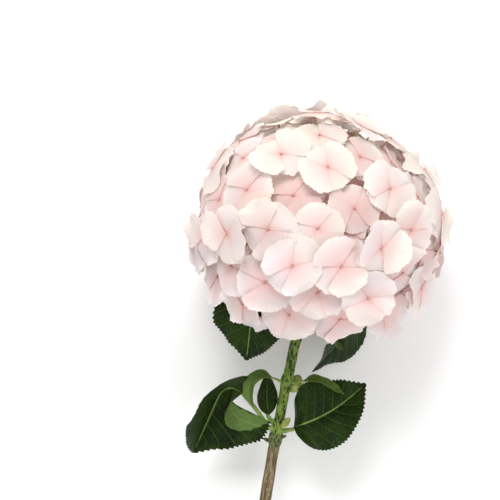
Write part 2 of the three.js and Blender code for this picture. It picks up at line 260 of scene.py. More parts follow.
def thicken(piece, thickness, offset=-1, **settings):
    """Gives a thin surface a real thickness. Offset -1 puts it all on the inner side."""
    wall = piece.modifiers.new("thickness", "SOLIDIFY")
    for key, value in {"thickness": thickness, "offset": offset, **settings}.items():
        setattr(wall, key, value)
    only(piece)
    bpy.ops.object.modifier_apply(modifier=wall.name)


def finish_piece(name, parts, node):
    """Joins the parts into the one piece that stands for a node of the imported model."""
    piece = join(name, parts)
    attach(piece, "root")
    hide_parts(node)


def spun(x, y, angle):
    """Two coordinates turned about the third axis."""
    c, s = math.cos(angle), math.sin(angle)
    return x * c - y * s, x * s + y * c


def set_uv(piece, name, coordinates):
    """Gives every vertex one place in a named UV map, which becomes the piece's only one."""
    for old in list(piece.data.uv_layers):
        piece.data.uv_layers.remove(old)
    layer = piece.data.uv_layers.new(name=name)
    corners = np.empty(len(piece.data.loops), dtype=int)
    piece.data.loops.foreach_get("vertex_index", corners)
    layer.data.foreach_set("uv", np.ascontiguousarray(coordinates[corners]).ravel())


# %% [markdown]
# ## Helpers for materials
# A material here is a tree of small nodes. These helpers add a node, set its values and join it
# to the ones before it, so that a material reads from top to bottom like a recipe.


# %% Node helpers
def srgb(red, green, blue):
    """A colour given as 0 to 255 in everyday screen values, as the shader's linear numbers."""
    linear = [((v / 255 + 0.055) / 1.055) ** 2.4 if v > 10 else v / 3294.6 for v in (red, green, blue)]
    return (*linear, 1.0)


def add(tree, kind, values=None, **settings):
    """Adds a node. values go on its inputs: a number or colour is set, a socket is joined."""
    node = tree.nodes.new(kind)
    for key, value in settings.items():
        setattr(node, key, value)
    for key, value in (values or {}).items():
        if isinstance(value, bpy.types.NodeSocket):
            tree.links.new(value, node.inputs[key])
        else:
            node.inputs[key].default_value = value
    return node


def maths(tree, operation, *values):
    return add(tree, "ShaderNodeMath", dict(enumerate(values)), operation=operation).outputs[0]


def plus(tree, first, second):
    return maths(tree, "ADD", first, second)


def minus(tree, first, second):
    return maths(tree, "SUBTRACT", first, second)


def times(tree, first, second):
    return maths(tree, "MULTIPLY", first, second)


def blend(tree, amount, first, second, mode="MIX"):
    """Mixes two colours; the sockets of a colour mix are found by number."""
    node = tree.nodes.new("ShaderNodeMix")
    node.data_type = "RGBA"
    node.blend_type = mode
    for index, value in ((0, amount), (6, first), (7, second)):
        if isinstance(value, bpy.types.NodeSocket):
            tree.links.new(value, node.inputs[index])
        else:
            node.inputs[index].default_value = value
    return node.outputs[2]


def step(tree, value, low, high):
    """0 below low, 1 above high, and a soft step between them."""
    node = add(tree, "ShaderNodeMapRange", {0: value, 1: low, 2: high}, interpolation_type="SMOOTHSTEP")
    return node.outputs[0]


def place_on(tree):
    """The object's own coordinates, so a pattern needs no unwrapped skin and has no seam."""
    return add(tree, "ShaderNodeTexCoord").outputs["Object"]


def new_material(name):
    material = bpy.data.materials.new(name)
    material.use_nodes = True
    tree = material.node_tree
    tree.nodes.clear()
    output = tree.nodes.new("ShaderNodeOutputMaterial")
    shader = tree.nodes.new("ShaderNodeBsdfPrincipled")
    tree.links.new(shader.outputs[0], output.inputs["Surface"])
    return material, tree, shader


def dress(tree, shader, colour, roughness, relief, strength, depth, specular=0.5):
    """Joins a finish to its shader: a colour, a gloss and a relief of some depth in metres."""
    tree.links.new(colour, shader.inputs["Base Color"])
    shader.inputs["Roughness"].default_value = roughness
    shader.inputs["Specular IOR Level"].default_value = specular
    bump = add(tree, "ShaderNodeBump", {"Height": relief, "Strength": strength, "Distance": depth})
    tree.links.new(bump.outputs[0], shader.inputs["Normal"])


def let_light_through(tree, shader, colour, share):
    """Mixes some translucence into a thin surface, as petals and leaves have."""
    output = next(n for n in tree.nodes if n.type == "OUTPUT_MATERIAL")
    thin = add(tree, "ShaderNodeBsdfTranslucent", {"Color": colour})
    mix = add(tree, "ShaderNodeMixShader", {0: share})
    tree.links.new(shader.outputs[0], mix.inputs[1])
    tree.links.new(thin.outputs[0], mix.inputs[2])
    tree.links.new(mix.outputs[0], output.inputs["Surface"])


# %% [markdown]
# ## Two effects that several finishes share
# *Mottle* is the soft unevenness of anything grown: a large and a fine noise added together.
# *Spots* scatters small long marks over a skin. The shoot's dark lenticels are such marks, and so
# are the pale ones on old bark. Both are node groups, so each finish places them with its own size.


# %% The mottle group
def make_group(name, inputs, outputs):
    group = bpy.data.node_groups.new(name, "ShaderNodeTree")
    for label, kind, value in inputs:
        socket = group.interface.new_socket(label, in_out="INPUT", socket_type=kind)
        if value is not None:
            socket.default_value = value
    for label, kind in outputs:
        group.interface.new_socket(label, in_out="OUTPUT", socket_type=kind)
    entry = group.nodes.new("NodeGroupInput")
    leave = group.nodes.new("NodeGroupOutput")
    return group, entry.outputs, leave.inputs


FLOAT, VECTOR = "NodeSocketFloat", "NodeSocketVector"
mottle, m_in, m_out = make_group(
    "mottle",
    [("Place", VECTOR, None), ("Patches per metre", FLOAT, 60.0), ("Fine share", FLOAT, 0.35)],
    [("Amount", FLOAT)],
)
coarse = add(mottle, "ShaderNodeTexNoise", {"Vector": m_in[0], "Scale": m_in[1], "Detail": 2.0})
fine = add(
    mottle,
    "ShaderNodeTexNoise",
    {"Vector": m_in[0], "Scale": times(mottle, m_in[1], 9.0), "Detail": 2.0},
)
mixed = add(
    mottle, "ShaderNodeMix", {0: m_in[2], 2: coarse.outputs[0], 3: fine.outputs[0]}, data_type="FLOAT"
)
mottle.links.new(mixed.outputs[0], m_out[0])

# %% The spots group
spots, s_in, s_out = make_group(
    "spots",
    [
        ("Place", VECTOR, None),
        ("Spots per metre", FLOAT, 330.0),
        ("Length", FLOAT, 0.45),
        ("Size", FLOAT, 0.24),
    ],
    [("Mask", FLOAT)],
)
stretch = add(spots, "ShaderNodeCombineXYZ", {0: 1.0, 1: s_in[2], 2: 1.0})
stretched = add(
    spots, "ShaderNodeVectorMath", {0: s_in[0], 1: stretch.outputs[0]}, operation="MULTIPLY"
)
cells = add(
    spots,
    "ShaderNodeTexVoronoi",
    {"Vector": stretched.outputs[0], "Scale": s_in[1], "Randomness": 0.85},
)
wanted = add(spots, "ShaderNodeSeparateColor", {0: cells.outputs["Color"]})
size = times(spots, s_in[3], plus(spots, wanted.outputs[0], 0.25))
spot = add(
    spots,
    "ShaderNodeMapRange",
    {0: cells.outputs["Distance"], 1: size, 2: times(spots, size, 1.5), 3: 1.0, 4: 0.0},
    interpolation_type="SMOOTHSTEP",
)
spots.links.new(spot.outputs[0], s_out[0])


def use(tree, group, **values):
    """Places a shared effect in a material."""
    node = tree.nodes.new("ShaderNodeGroup")
    node.node_tree = group
    for key, value in values.items():
        socket = node.inputs[key.replace("_", " ")]
        if isinstance(value, bpy.types.NodeSocket):
            tree.links.new(value, socket)
        else:
            socket.default_value = value
    return node.outputs[0]


print("shared effects:", [g.name for g in bpy.data.node_groups])

# %% [markdown]
# ## The finish of the sepals
# What looks like a petal on a hydrangea is a sepal: thin, matt and faintly veined. It is creamy
# at the rim, blushes pink towards its foot, and lets some light through. Each floret and each
# sepal has a tint of its own, which comes from the attribute `tint` on the mesh: red holds the
# floret's share of pink, green the sepal's share of cream, and blue its lightness. The pink share
# is partly painted shade, as deeper florets are pinker, and the cream share is partly a painted
# sunlit top, as florets near the crown are creamier. The undersides are plain and light.

# %% Sepal finish
sepal_finish, tree, shader = new_material("sepal")
uv = add(tree, "ShaderNodeUVMap", uv_map="sepal_uv").outputs[0]
place = place_on(tree)
across, along, _ = add(tree, "ShaderNodeSeparateXYZ", {0: uv}).outputs
tint = add(tree, "ShaderNodeAttribute", attribute_name="tint")
blush_and_painted_depth_shade, cream_and_painted_sunlit_top, lightness = add(
    tree, "ShaderNodeSeparateColor", {0: tint.outputs["Color"]}
).outputs
unevenness = use(tree, mottle, Place=place, Patches_per_metre=80.0, Fine_share=0.25)
sideways = maths(tree, "ABSOLUTE", minus(tree, across, 0.5))
fan = maths(tree, "ARCTAN2", minus(tree, across, 0.5), plus(tree, along, 0.22))
wander = times(tree, minus(tree, unevenness, 0.5), 0.9)
vein_wave = maths(tree, "SINE", plus(tree, times(tree, fan, 26.0), wander))
veins = maths(tree, "POWER", maths(tree, "ABSOLUTE", vein_wave), 5.0)
# the pink share, partly painted shade on deeper florets, sets how far the blush reaches
reach = plus(tree, times(tree, blush_and_painted_depth_shade, 0.75), 0.10)
edge = plus(tree, along, times(tree, wander, 0.35))
blush = step(tree, minus(tree, reach, edge), -0.50, 0.45)
# the cream share is partly a painted sunlit top on florets near the crown
white = blend(tree, cream_and_painted_sunlit_top, srgb(249, 243, 245), srgb(254, 249, 238))
blushed = blend(tree, times(tree, blush, 0.66), white, srgb(251, 222, 219))
rim = step(tree, maths(tree, "MAXIMUM", times(tree, sideways, 2.0), along), 0.80, 1.0)
rimmed = blend(tree, times(tree, rim, 0.55), blushed, srgb(255, 251, 241))
veined = blend(tree, times(tree, veins, 0.07), rimmed, srgb(240, 206, 206))
foot = times(tree, step(tree, minus(tree, 0.26, along), 0.0, 0.26), 0.45)
footed = blend(tree, foot, veined, srgb(248, 200, 194))
shade = add(tree, "ShaderNodeMapRange", {0: lightness, 3: 0.95, 4: 1.0}).outputs[0]
sepal_colour = blend(tree, 1.0, footed, shade, mode="MULTIPLY")
relief = plus(tree, times(tree, veins, -0.3), times(tree, unevenness, 0.8))
dress(tree, shader, sepal_colour, 0.66, relief, 0.3, 0.0006, specular=0.25)
let_light_through(tree, shader, sepal_colour, 0.46)
print("sepal finish has", len(tree.nodes), "nodes")

# %% [markdown]
# ## The finishes of the eye, the stalks and the rays
# The eye is the floret's closed middle: a tight pink bud, a little browned. The thin stalks
# under the sepals are pale green with patches of pink blush.


# %% Eye and stalk finishes
def plain_skin(name, base, second, patches, roughness):
    """A soft skin of two near colours that run into each other."""
    material, tree, shader = new_material(name)
    place = place_on(tree)
    amount = use(tree, mottle, Place=place, Patches_per_metre=patches, Fine_share=0.3)
    colour = blend(tree, step(tree, amount, 0.35, 0.65), base, second)
    dress(tree, shader, colour, roughness, amount, 0.4, 0.0004)
    return material


eye_finish = plain_skin("floret_eye", srgb(214, 148, 146), srgb(206, 164, 140), 500.0, 0.5)
stalk_finish = plain_skin("floret_stalk", srgb(205, 208, 160), srgb(214, 186, 160), 90.0, 0.6)
ray_finish = plain_skin("ray", srgb(176, 190, 122), srgb(196, 202, 150), 70.0, 0.6)
bud_finish = plain_skin("bud", srgb(156, 168, 72), srgb(120, 134, 58), 150.0, 0.45)

# %% [markdown]
# ## Patterns that are modelled once
# A stalk is a straight tube of unit length. It is drawn out from a disc by extruding its end
# a step at a time, and every copy is then bent along its own path.


# %% A straight stalk
def straight_stalk(name, sides, steps, finish):
    bpy.ops.mesh.primitive_circle_add(vertices=sides, radius=1, fill_type="NGON", location=(0, 0, 0))
    stalk = bpy.context.object
    stalk.name = name
    with edit_mode():
        for _ in range(steps):
            bpy.ops.mesh.extrude_region_move(TRANSFORM_OT_translate={"value": (0, 0, 1 / steps)})
        bpy.ops.mesh.select_all(action="SELECT")
        bpy.ops.mesh.normals_make_consistent(inside=False)
    bpy.ops.object.shade_smooth()
    stalk.data.materials.append(finish)
    return stalk


def bezier(points, t):
    """Points on a smooth path that starts at the first point and ends at the last."""
    points = [np.asarray(p, dtype=float) for p in points]
    t = np.asarray(t)[:, None]
    while len(points) > 1:
        points = [a * (1 - t) + b * t for a, b in zip(points, points[1:])]
    return points[0]


ACROSS_ALL_STALKS = np.array([0.31, 0.2, 0.93])  # a direction that no stalk follows


def bend_along(piece, path, radius_at):
    """Bends a straight stalk along a path of the upright flower and lays it down. The path is
    a list of points that pull on a smooth curve, or a function that gives the curve itself."""
    curve = path if callable(path) else (lambda t: bezier(path, t))
    shape = read(piece)
    along = np.clip(shape[:, 2], 0, 1)
    middle = curve(along)
    tangent = unit_rows(curve(np.clip(along + 0.01, 0, 1)) - curve(np.clip(along - 0.01, 0, 1)))
    first = unit_rows(np.cross(tangent, ACROSS_ALL_STALKS))
    second = np.cross(tangent, first)
    radius = radius_at(along)[:, None]
    write(piece, lay_down(middle + radius * (shape[:, :1] * first + shape[:, 1:2] * second)))


thin_stalk = straight_stalk("thin_stalk", 6, 5, stalk_finish)
thick_stalk = straight_stalk("thick_stalk", 10, 8, ray_finish)
print("thin stalk faces:", len(thin_stalk.data.polygons))

# %% [markdown]
# ## One floret, modelled flat
# Four sepals stand in two pairs, and the second pair overlaps the first. One sepal is a grid
# that is rounded to a disc, narrowed to a claw at its foot, drawn to a blunt tip and given a
# finely toothed rim. It gets a real thickness, and four copies make the flat floret. Each
# real floret bends this pattern in its own way, so no two are the same.

# %% One sepal
SEPAL_THICKNESS = 0.00030
PAIR_STEP = 0.0005
SEPAL_CELLS = 8
SEPAL_HALF_WIDTH = 0.72  # this and the next three are shares of the floret's radius
SEPAL_LENGTH = 0.93
FOOT_GAP = 0.045  # between the foot and the floret's middle
TIP_LENGTH = 0.05
FOOT_WIDTH = 0.36  # as a share of the full width
TOOTH_OUT, TOOTH_IN = 0.035, -0.032  # as shares of the way from the sepal's middle
bpy.ops.mesh.primitive_grid_add(x_subdivisions=SEPAL_CELLS, y_subdivisions=SEPAL_CELLS, size=2)
sepal = bpy.context.object
sepal.name = "sepal_pattern"
with edit_mode("DESELECT"):
    bpy.ops.mesh.select_mode(type="EDGE")
    bpy.ops.mesh.select_non_manifold()  # the open rim, whose edges each get a vertex for a tooth
    bpy.ops.mesh.subdivide(number_cuts=1, ngon=True)
square = read(sepal)
on_rim = np.maximum(abs(square[:, 0]), abs(square[:, 1])) > 0.99
between = on_rim & (np.arange(len(square)) >= (SEPAL_CELLS + 1) ** 2)  # the added rim vertices
disc_x = square[:, 0] * np.sqrt(1 - square[:, 1] ** 2 / 2)
disc_y = square[:, 1] * np.sqrt(1 - square[:, 0] ** 2 / 2)
corner = np.minimum(abs(square[:, 0]), abs(square[:, 1])) > 0.99
tooth = np.where(on_rim, np.where(between | corner, TOOTH_OUT, TOOTH_IN), 0.0)
tooth = 1 + tooth * smooth(disc_y, -0.75, -0.3)
disc_x, disc_y = disc_x * tooth, disc_y * tooth
from_foot = (disc_y + 1) / 2
narrowing = FOOT_WIDTH + (1 - FOOT_WIDTH) * smooth(from_foot, 0.0, 0.5)
tip = TIP_LENGTH * np.clip(1 - abs(disc_x) / 0.5, 0, 1) * smooth(from_foot, 0.75, 1.0)
outline = np.column_stack([
    SEPAL_HALF_WIDTH * FLORET_RADIUS * disc_x * narrowing,
    FLORET_RADIUS * (FOOT_GAP + SEPAL_LENGTH * from_foot + tip),
    np.zeros(len(square)),
])
rim_step = 1 - 1 / SEPAL_CELLS
for i in np.nonzero(corner)[0]:  # the grid's corners stay just outside the line of their neighbours
    beside = np.argmin(np.linalg.norm(square - square[i] * [rim_step, 1, 1], axis=1))
    above = np.argmin(np.linalg.norm(square - square[i] * [1, rim_step, 1], axis=1))
    outline[i] = (outline[beside] + outline[above]) / 2 + np.sign(square[i]) * 0.0003
write(sepal, outline)
set_uv(sepal, "sepal_uv", np.column_stack([0.5 + 0.5 * disc_x * narrowing, from_foot]))
sepal.data.materials.append(sepal_finish)
with edit_mode():
    bpy.ops.mesh.quads_convert_to_tris()  # both faces of the thin wall then bend along the same lines
thicken(sepal, SEPAL_THICKNESS)
print("sepal faces:", len(sepal.data.polygons), "size:", [round(d, 4) for d in sepal.dimensions])

# %% The eye
EYE_RADIUS, EYE_HALF_HEIGHT, EYE_LIFT = 0.00115, 0.0010, 0.0006
bpy.ops.mesh.primitive_uv_sphere_add(segments=8, ring_count=5, radius=1)
eye = bpy.context.object
eye.name = "eye_pattern"
ball = read(eye)
turn = np.arctan2(ball[:, 1], ball[:, 0])
lobes = 1 + 0.32 * np.cos(4 * turn)
write(eye, np.column_stack([
    EYE_RADIUS * ball[:, 0] * lobes, EYE_RADIUS * ball[:, 1] * lobes, EYE_LIFT + EYE_HALF_HEIGHT * ball[:, 2]
]))
for layer in list(eye.data.uv_layers):
    layer.name = "sepal_uv"
eye.data.materials.append(eye_finish)

# %% The flat floret
sepals = []
for k in range(4):
    part = copy_of(sepal, f"sepal_{k}")
    flat = read(part)
    x, y = spun(flat[:, 0], flat[:, 1], k * math.pi / 2)
    write(part, np.column_stack([x, y, flat[:, 2] + PAIR_STEP * (k % 2)]))
    sepals.append(part)
SEPAL_VERTICES = len(sepal.data.vertices)
middle = copy_of(eye, "eye")  # made last, so that joining puts it after the four sepals
flat_floret = join("floret_pattern", [*sepals, middle])
bpy.ops.object.shade_smooth_by_angle(angle=math.radians(50))
flat_floret.data.color_attributes.new("tint", "FLOAT_COLOR", "POINT")
flat_points = read(flat_floret)
FLORET_VERTICES = len(flat_points)
floret_faces = [tuple(p.vertices) for p in flat_floret.data.polygons]
sepal_faces = [f for f in floret_faces if max(f) < 4 * SEPAL_VERTICES]
pair_faces = [[f for f in sepal_faces if (f[0] // SEPAL_VERTICES) % 2 == pair] for pair in (0, 1)]


def sepal_part(k):
    """The range of a floret's vertices that make its sepal k."""
    return slice(k * SEPAL_VERTICES, (k + 1) * SEPAL_VERTICES)


ways = [flat_points[sepal_part(k)].mean(axis=0) for k in range(4)]
print("floret faces:", len(floret_faces), "vertices:", FLORET_VERTICES,
      "sepals point to:", [round(math.degrees(math.atan2(w[1], w[0]))) for w in ways])

# %% [markdown]
# ## Where the florets sit
# The cymes follow a golden-angle spiral down the dome, three florets to a cyme, and then push
# one another along until they are evenly spread. Neighbours sit on different levels, so they
# overlap like shingles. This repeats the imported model's own layout, so every floret here covers
# the plain one there.


# %% Directions of the florets
def direction_at(polar, around):
    return np.array([math.sin(polar) * math.cos(around), math.cos(polar), math.sin(polar) * math.sin(around)])


def floret_directions():
    directions = []
    for cyme in range(CYME_COUNT):
        share = (cyme + 0.5) / CYME_COUNT
        polar = math.acos(1 + (math.cos(HEAD_SPREAD) - 1) * share)
        around = cyme * GOLDEN_ANGLE
        middle = direction_at(polar, around)
        sideways = np.array([-math.sin(around), 0, math.cos(around)])
        downwards = np.cross(middle, sideways)
        for k in range(FLORETS_IN_CYME):
            turn = 2 * math.pi * k / FLORETS_IN_CYME + cyme
            reach = math.tan(math.radians(13))
            spoke = middle + reach * (math.cos(turn) * sideways + math.sin(turn) * downwards)
            directions.append(unit(spoke))
    return np.array(directions)


def even_out(directions, passes=60, stiffness=0.35):
    cap_area = 2 * math.pi * (1 - math.cos(HEAD_SPREAD))
    spacing = 1.07 * math.sqrt(cap_area / len(directions) * 2 / math.sqrt(3))
    for _ in range(passes):
        away = directions[:, None] - directions[None]
        distance = np.linalg.norm(away, axis=2) + np.eye(len(directions)) * 9
        shortfall = np.clip(spacing - distance, 0, None) * stiffness
        pushed = directions + (away / distance[..., None] * shortfall[..., None]).sum(axis=1)
        directions = unit_rows(pushed)
        for i in np.nonzero(directions[:, 1] < math.cos(HEAD_SPREAD))[0]:
            directions[i] = direction_at(HEAD_SPREAD, math.atan2(directions[i, 2], directions[i, 0]))
    return directions


# %% Levels and places of the florets
LEVELS, LEVEL_STEP = 4, 0.003
PRESS_ANGLE = math.radians(27)
DOME = np.array([HEAD_RADIUS, HEAD_HALF_HEIGHT, HEAD_RADIUS])
SKIRT = 0.60  # how far the florets beside the stem turn to face outwards


def room_at(point, level, florets):
    return min((np.linalg.norm(point - f["centre"]) for f in florets if f["level"] == level), default=9.0)


florets = []
for direction in even_out(floret_directions()):
    facing = unit(direction / DOME)
    pressed = math.acos(max(-1, min(1, float(-facing @ UP)))) < PRESS_ANGLE
    choices = []
    for level in range(LEVELS):
        taper = 1 - HEAD_TAPER * direction[1]
        centre = direction * DOME * [taper, 1, taper] - LEVEL_STEP * level * facing
        choices.append((room_at(centre, level, florets), -level, centre))
    _, minus_level, centre = max(choices, key=lambda choice: choice[:2])
    if pressed:
        facing = -UP
        centre = centre + UP * (0.0004 - height_of(centre)[0])
    else:
        turn = SKIRT * float(smooth(-direction[1], -0.05, 0.65) * smooth(float(facing @ UP), -0.6, 0.1))
        facing = unit(facing + np.array([0.0, turn, 0.0]))
    florets.append({"centre": centre, "facing": facing, "level": -1 if pressed else -minus_level,
                    "pressed": pressed, "out": direction})
print("florets:", len(florets), "pressed flat:", sum(f["pressed"] for f in florets))

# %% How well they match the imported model
misses = []
for c in range(CYME_COUNT):
    low, high = (np.array(corner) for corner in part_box(f"cyme_{c + 1:02d}"))
    for f in florets[FLORETS_IN_CYME * c:FLORETS_IN_CYME * (c + 1)]:
        p = lay_down(f["centre"])[0]
        misses.append(float(np.max(np.clip(np.concatenate([low - p, p - high]), 0, None))))
print("largest miss of a floret's centre from its packed cyme, in mm:", round(max(misses) * 1000, 3))

# %% [markdown]
# ## Bending each floret
# A floret's sepals rise or fall a little, cup along their length, curl at the tip and ruffle at
# the rim, and the whole floret tips a few degrees. The dome's own curve is added, so that
# florets on different levels cut through each other less. Near the table the sepals are pressed
# flat.


# %% The shape of one floret
DOME_CURVE = 0.105  # radius of the dome's curve, which every floret takes on
TABLE_GAP = 0.0002  # under the lowest sepals
LEVEL_GAP = 0.0013  # between florets that lie over one another on the table
PAIR_GAP = 0.0006  # between the pairs of one floret there
SEPAL_OF = np.repeat(np.arange(4), SEPAL_VERTICES)
INNER_FACE = np.zeros(FLORET_VERTICES, dtype=bool)
for k in range(4):
    lift = PAIR_STEP * (k % 2)
    part = sepal_part(k)
    INNER_FACE[part] = flat_points[part, 2] < lift - SEPAL_THICKNESS / 2


def random_shape(chance, liveliness):
    """A floret's own character. The less lively, the flatter and calmer, though it may still cut."""
    lively = lambda low, high: chance.uniform(low, high) * liveliness
    rise = lively(-0.10, 0.26)
    pair_length = [chance.uniform(0.86, 1.04), chance.uniform(0.90, 1.08)]
    return {
        "rise": [rise + lively(-0.02, 0.02) + (0.05 if k % 2 else -0.03) * liveliness for k in range(4)],
        "lift": [lively(-0.20, 0.20) for _ in range(4)],
        "cup": [lively(0.00, 0.30) if k % 2 else lively(-0.24, 0.02) for k in range(4)],
        "curl": [lively(-0.42, 0.46) for _ in range(4)],
        "ruffle": [lively(1.1, 2.9) * 0.001 for _ in range(4)],
        "waves": [chance.choice([2, 3, 3, 4]) for _ in range(4)],
        "phase": [chance.uniform(0, 6.3) for _ in range(4)],
        "width": [chance.uniform(0.84, 1.16) for _ in range(4)],
        "length": [pair_length[k % 2] * chance.uniform(0.96, 1.04) for k in range(4)],
        "swing": [chance.uniform(-0.20, 0.20) for _ in range(4)],
        "tilt": (lively(-0.24, 0.24), lively(-0.24, 0.24)),
        "spin": chance.uniform(0, math.pi / 2),
    }


def bend_floret(floret, shape, size):
    """The places of all the floret's vertices in the upright flower."""
    points = flat_points.copy()
    for k in range(4):
        part = sepal_part(k)
        x, y = spun(points[part, 0], points[part, 1], -k * math.pi / 2)
        share, side = y / FLORET_RADIUS, x / (SEPAL_HALF_WIDTH * FLORET_RADIUS)
        rim = np.clip(np.hypot(side, 2.1 * (share - 0.51)), 0, 1.05)
        around = np.arctan2(side, 2.1 * (share - 0.51))
        x, y = x * shape["width"][k], y * shape["length"][k]
        z = points[part, 2] + y * shape["rise"][k]
        z += shape["cup"][k] * FLORET_RADIUS * side**2 * share
        z -= shape["curl"][k] * FLORET_RADIUS * np.clip(share - 0.45, 0, None) ** 2 * 2.0
        free = smooth(share, 0.45, 0.85)
        z += shape["lift"][k] * FLORET_RADIUS * free * share
        phase = shape["phase"][k]
        z += shape["ruffle"][k] * free * rim**2 * np.sin(shape["waves"][k] * around + phase)
        z += 0.30 * shape["ruffle"][k] * free * rim**3 * np.sin(9 * around + 3 * phase)
        z -= 0.0003 * np.exp(-(side / 0.12) ** 2) * smooth(share, 0.3, 0.6)
        points[part] = np.column_stack([*spun(x, y, k * math.pi / 2 + shape["swing"][k]), z])
    points[:4 * SEPAL_VERTICES, :2] *= size / FLORET_RADIUS
    spin = shape["spin"]
    c, s = math.cos(spin), math.sin(spin)
    turned = points @ np.array([[c, s, 0], [-s, c, 0], [0, 0, 1]])
    tilt_x, tilt_y = shape["tilt"]
    turned[:, 2] += turned[:, 0] * tilt_x + turned[:, 1] * tilt_y
    if not floret["pressed"]:
        turned[:, 2] -= (turned[:, 0] ** 2 + turned[:, 1] ** 2) / (2 * DOME_CURVE)
    facing = floret["facing"]
    first = unit(np.cross(facing, [0.13, 0.05, 0.99]))
    second = np.cross(facing, first)
    placed = floret["centre"] + turned @ np.array([first, second, facing])
    return press_on_table(floret, placed)


def press_on_table(floret, placed):
    """Keeps a floret above the table, and above those that lie under it there."""
    pair = np.concatenate([(SEPAL_OF + 1) % 2, np.zeros(FLORET_VERTICES - len(SEPAL_OF))])
    floor = TABLE_GAP + LEVEL_GAP * (floret["level"] + 1) + PAIR_GAP * pair + SEPAL_THICKNESS * INNER_FACE
    lift = np.clip(floor - height_of(placed), 0, None)
    lift[len(SEPAL_OF):] = lift[len(SEPAL_OF):].max()  # the eye keeps its shape
    return placed + lift[:, None] * UP


# %% [markdown]
# ## Fitting the florets together
# Florets are placed one after another. Each tries lively shapes at a generous size first, and
# calmer, smaller ones if a sepal would cut through a neighbour's. A tree of the neighbours'
# faces makes that test quick. It knows only the neighbours that are already placed, and where
# nothing fits, the shape with the lowest score stays. So many sepals still cut through others.


# %% Choose every floret's shape
ATTEMPTS = 36
NEIGHBOUR_REACH = 0.056  # florets farther apart than this can't touch
FEW_CUTS = 8  # cut pairs of faces that are let through, because real sepals press on each other
CALM_PENALTY = 60  # how many cut faces a calmer, smaller floret has to save


def cuts(points, near):
    """How many pairs of faces cut through each other. Those within the floret count half."""
    vertices = [tuple(p) for p in points[:4 * SEPAL_VERTICES]]
    lower, upper = (BVHTree.FromPolygons(vertices, faces) for faces in pair_faces)
    whole = BVHTree.FromPolygons(vertices, sepal_faces)
    inside = 0.5 * len(lower.overlap(upper))
    return inside + sum(len(whole.overlap(other)) for other in near), whole


def fit(floret, smallest, largest):
    """Gives a floret the best shape of those it tries, and returns which try that was and how
    many faces it cuts, its own and those of the florets placed before it."""
    near = [tree for centre, tree in settled if np.linalg.norm(floret["centre"] - centre) < NEIGHBOUR_REACH]
    best = None
    for attempt in range(ATTEMPTS):
        calm = attempt / (ATTEMPTS - 1)
        shape = random_shape(chance, 1.0 - 0.85 * calm)
        size = chance.uniform(smallest, largest) * (1 - 0.15 * calm)
        points = bend_floret(floret, shape, size)
        hits, tree = cuts(points, near)
        score = hits + CALM_PENALTY * calm
        if best is None or score < best[0]:
            best = (score, points, tree, attempt + 1, hits)
        if hits <= FEW_CUTS or best[0] < CALM_PENALTY * calm:
            break
    floret["points"] = best[1]
    settled.append((floret["centre"], best[2]))
    return best[3], best[4]


def in_cyme(c):
    return florets[FLORETS_IN_CYME * c:FLORETS_IN_CYME * (c + 1)]


def say_fit(what, results):
    tries, left = zip(*results)
    print(what, len(results), " mean try kept:", round(float(np.mean(tries)), 1),
          " cuts when placed:", sum(left), " florets that cut nothing placed before them:",
          sum(count == 0 for count in left))


chance = random.Random(11)
settled = []
sizes = {True: (0.0190, 0.0200), False: (0.0228, 0.0250)}  # of florets pressed flat, and of all others
say_fit("outer florets:", [fit(f, *sizes[f["pressed"]]) for f in sorted(florets, key=lambda f: f["level"])])

# %% [markdown]
# ## Inner florets
# A real head isn't hollow right under its surface: smaller florets sit deeper and close the
# gaps. They are pinker, which is partly their own blush and partly painted shade of the deep
# gaps. Two are added to each cyme, in the directions that lie farthest from every other floret.

# %% Fill the gaps with inner florets
INNER_SHARES = (0.80, 0.84)  # of the way from the head's middle to its surface
TRIED_WAYS = 2400
LOWEST_INNER = 0.018  # height over the table; florets pressed flat lie below it
number = np.arange(TRIED_WAYS)
polars = np.arccos(1 + (math.cos(0.96 * HEAD_SPREAD) - 1) * (number + 0.5) / TRIED_WAYS)
arounds = number * GOLDEN_ANGLE
ways_out = np.column_stack([
    np.sin(polars) * np.cos(arounds), np.cos(polars), np.sin(polars) * np.sin(arounds)
])
cyme_ways = np.array([unit(sum(f["out"] for f in in_cyme(c))) for c in range(CYME_COUNT)])
owner = np.argmax(ways_out @ cyme_ways.T, axis=1)
taken = [f["out"] for f in florets]
inner = {c: [] for c in range(CYME_COUNT)}
for share in INNER_SHARES:
    for c in range(CYME_COUNT):
        own = ways_out[owner == c]
        direction = own[np.argmin(np.max(own @ np.array(taken).T, axis=1))]
        taken.append(direction)
        taper = 1 - HEAD_TAPER * direction[1]
        centre = direction * DOME * [taper, 1, taper] * share
        if height_of(centre)[0] > LOWEST_INNER:
            inner[c].append({"centre": centre, "facing": unit(direction / DOME), "level": LEVELS,
                             "pressed": False, "out": direction})
say_fit("inner florets:", [fit(f, 0.0155, 0.0200) for c in range(CYME_COUNT) for f in inner[c]])

# %% [markdown]
# ## Cymes
# Three florets' stalks meet in a hub, and the hub's own stalk reaches back to a ray. Each cyme
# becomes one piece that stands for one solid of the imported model.

# %% Hubs and rays
HUB_DEPTH, CYME_STALK, RAY_COUNT, RAY_FORK = 0.68, 0.007, 7, 0.5
neck = stem_point(NECK_DEPTH)
hubs = [HUB_DEPTH * np.mean([f["centre"] for f in in_cyme(c)], axis=0) for c in range(CYME_COUNT)]
ray_ways = [np.array([0.0, 1.0, 0.0])] + [
    direction_at(math.radians(82), 2 * math.pi * k / (RAY_COUNT - 1)) for k in range(RAY_COUNT - 1)
]
ray_of = [int(np.argmax([way @ hub / np.linalg.norm(hub) for way in ray_ways])) for hub in hubs]
forks = []
for r in range(RAY_COUNT):
    own = [hubs[c] for c in range(CYME_COUNT) if ray_of[c] == r]
    forks.append(neck + (np.mean(own, axis=0) - neck) * RAY_FORK)
print("cymes on each ray:", [ray_of.count(r) for r in range(RAY_COUNT)])


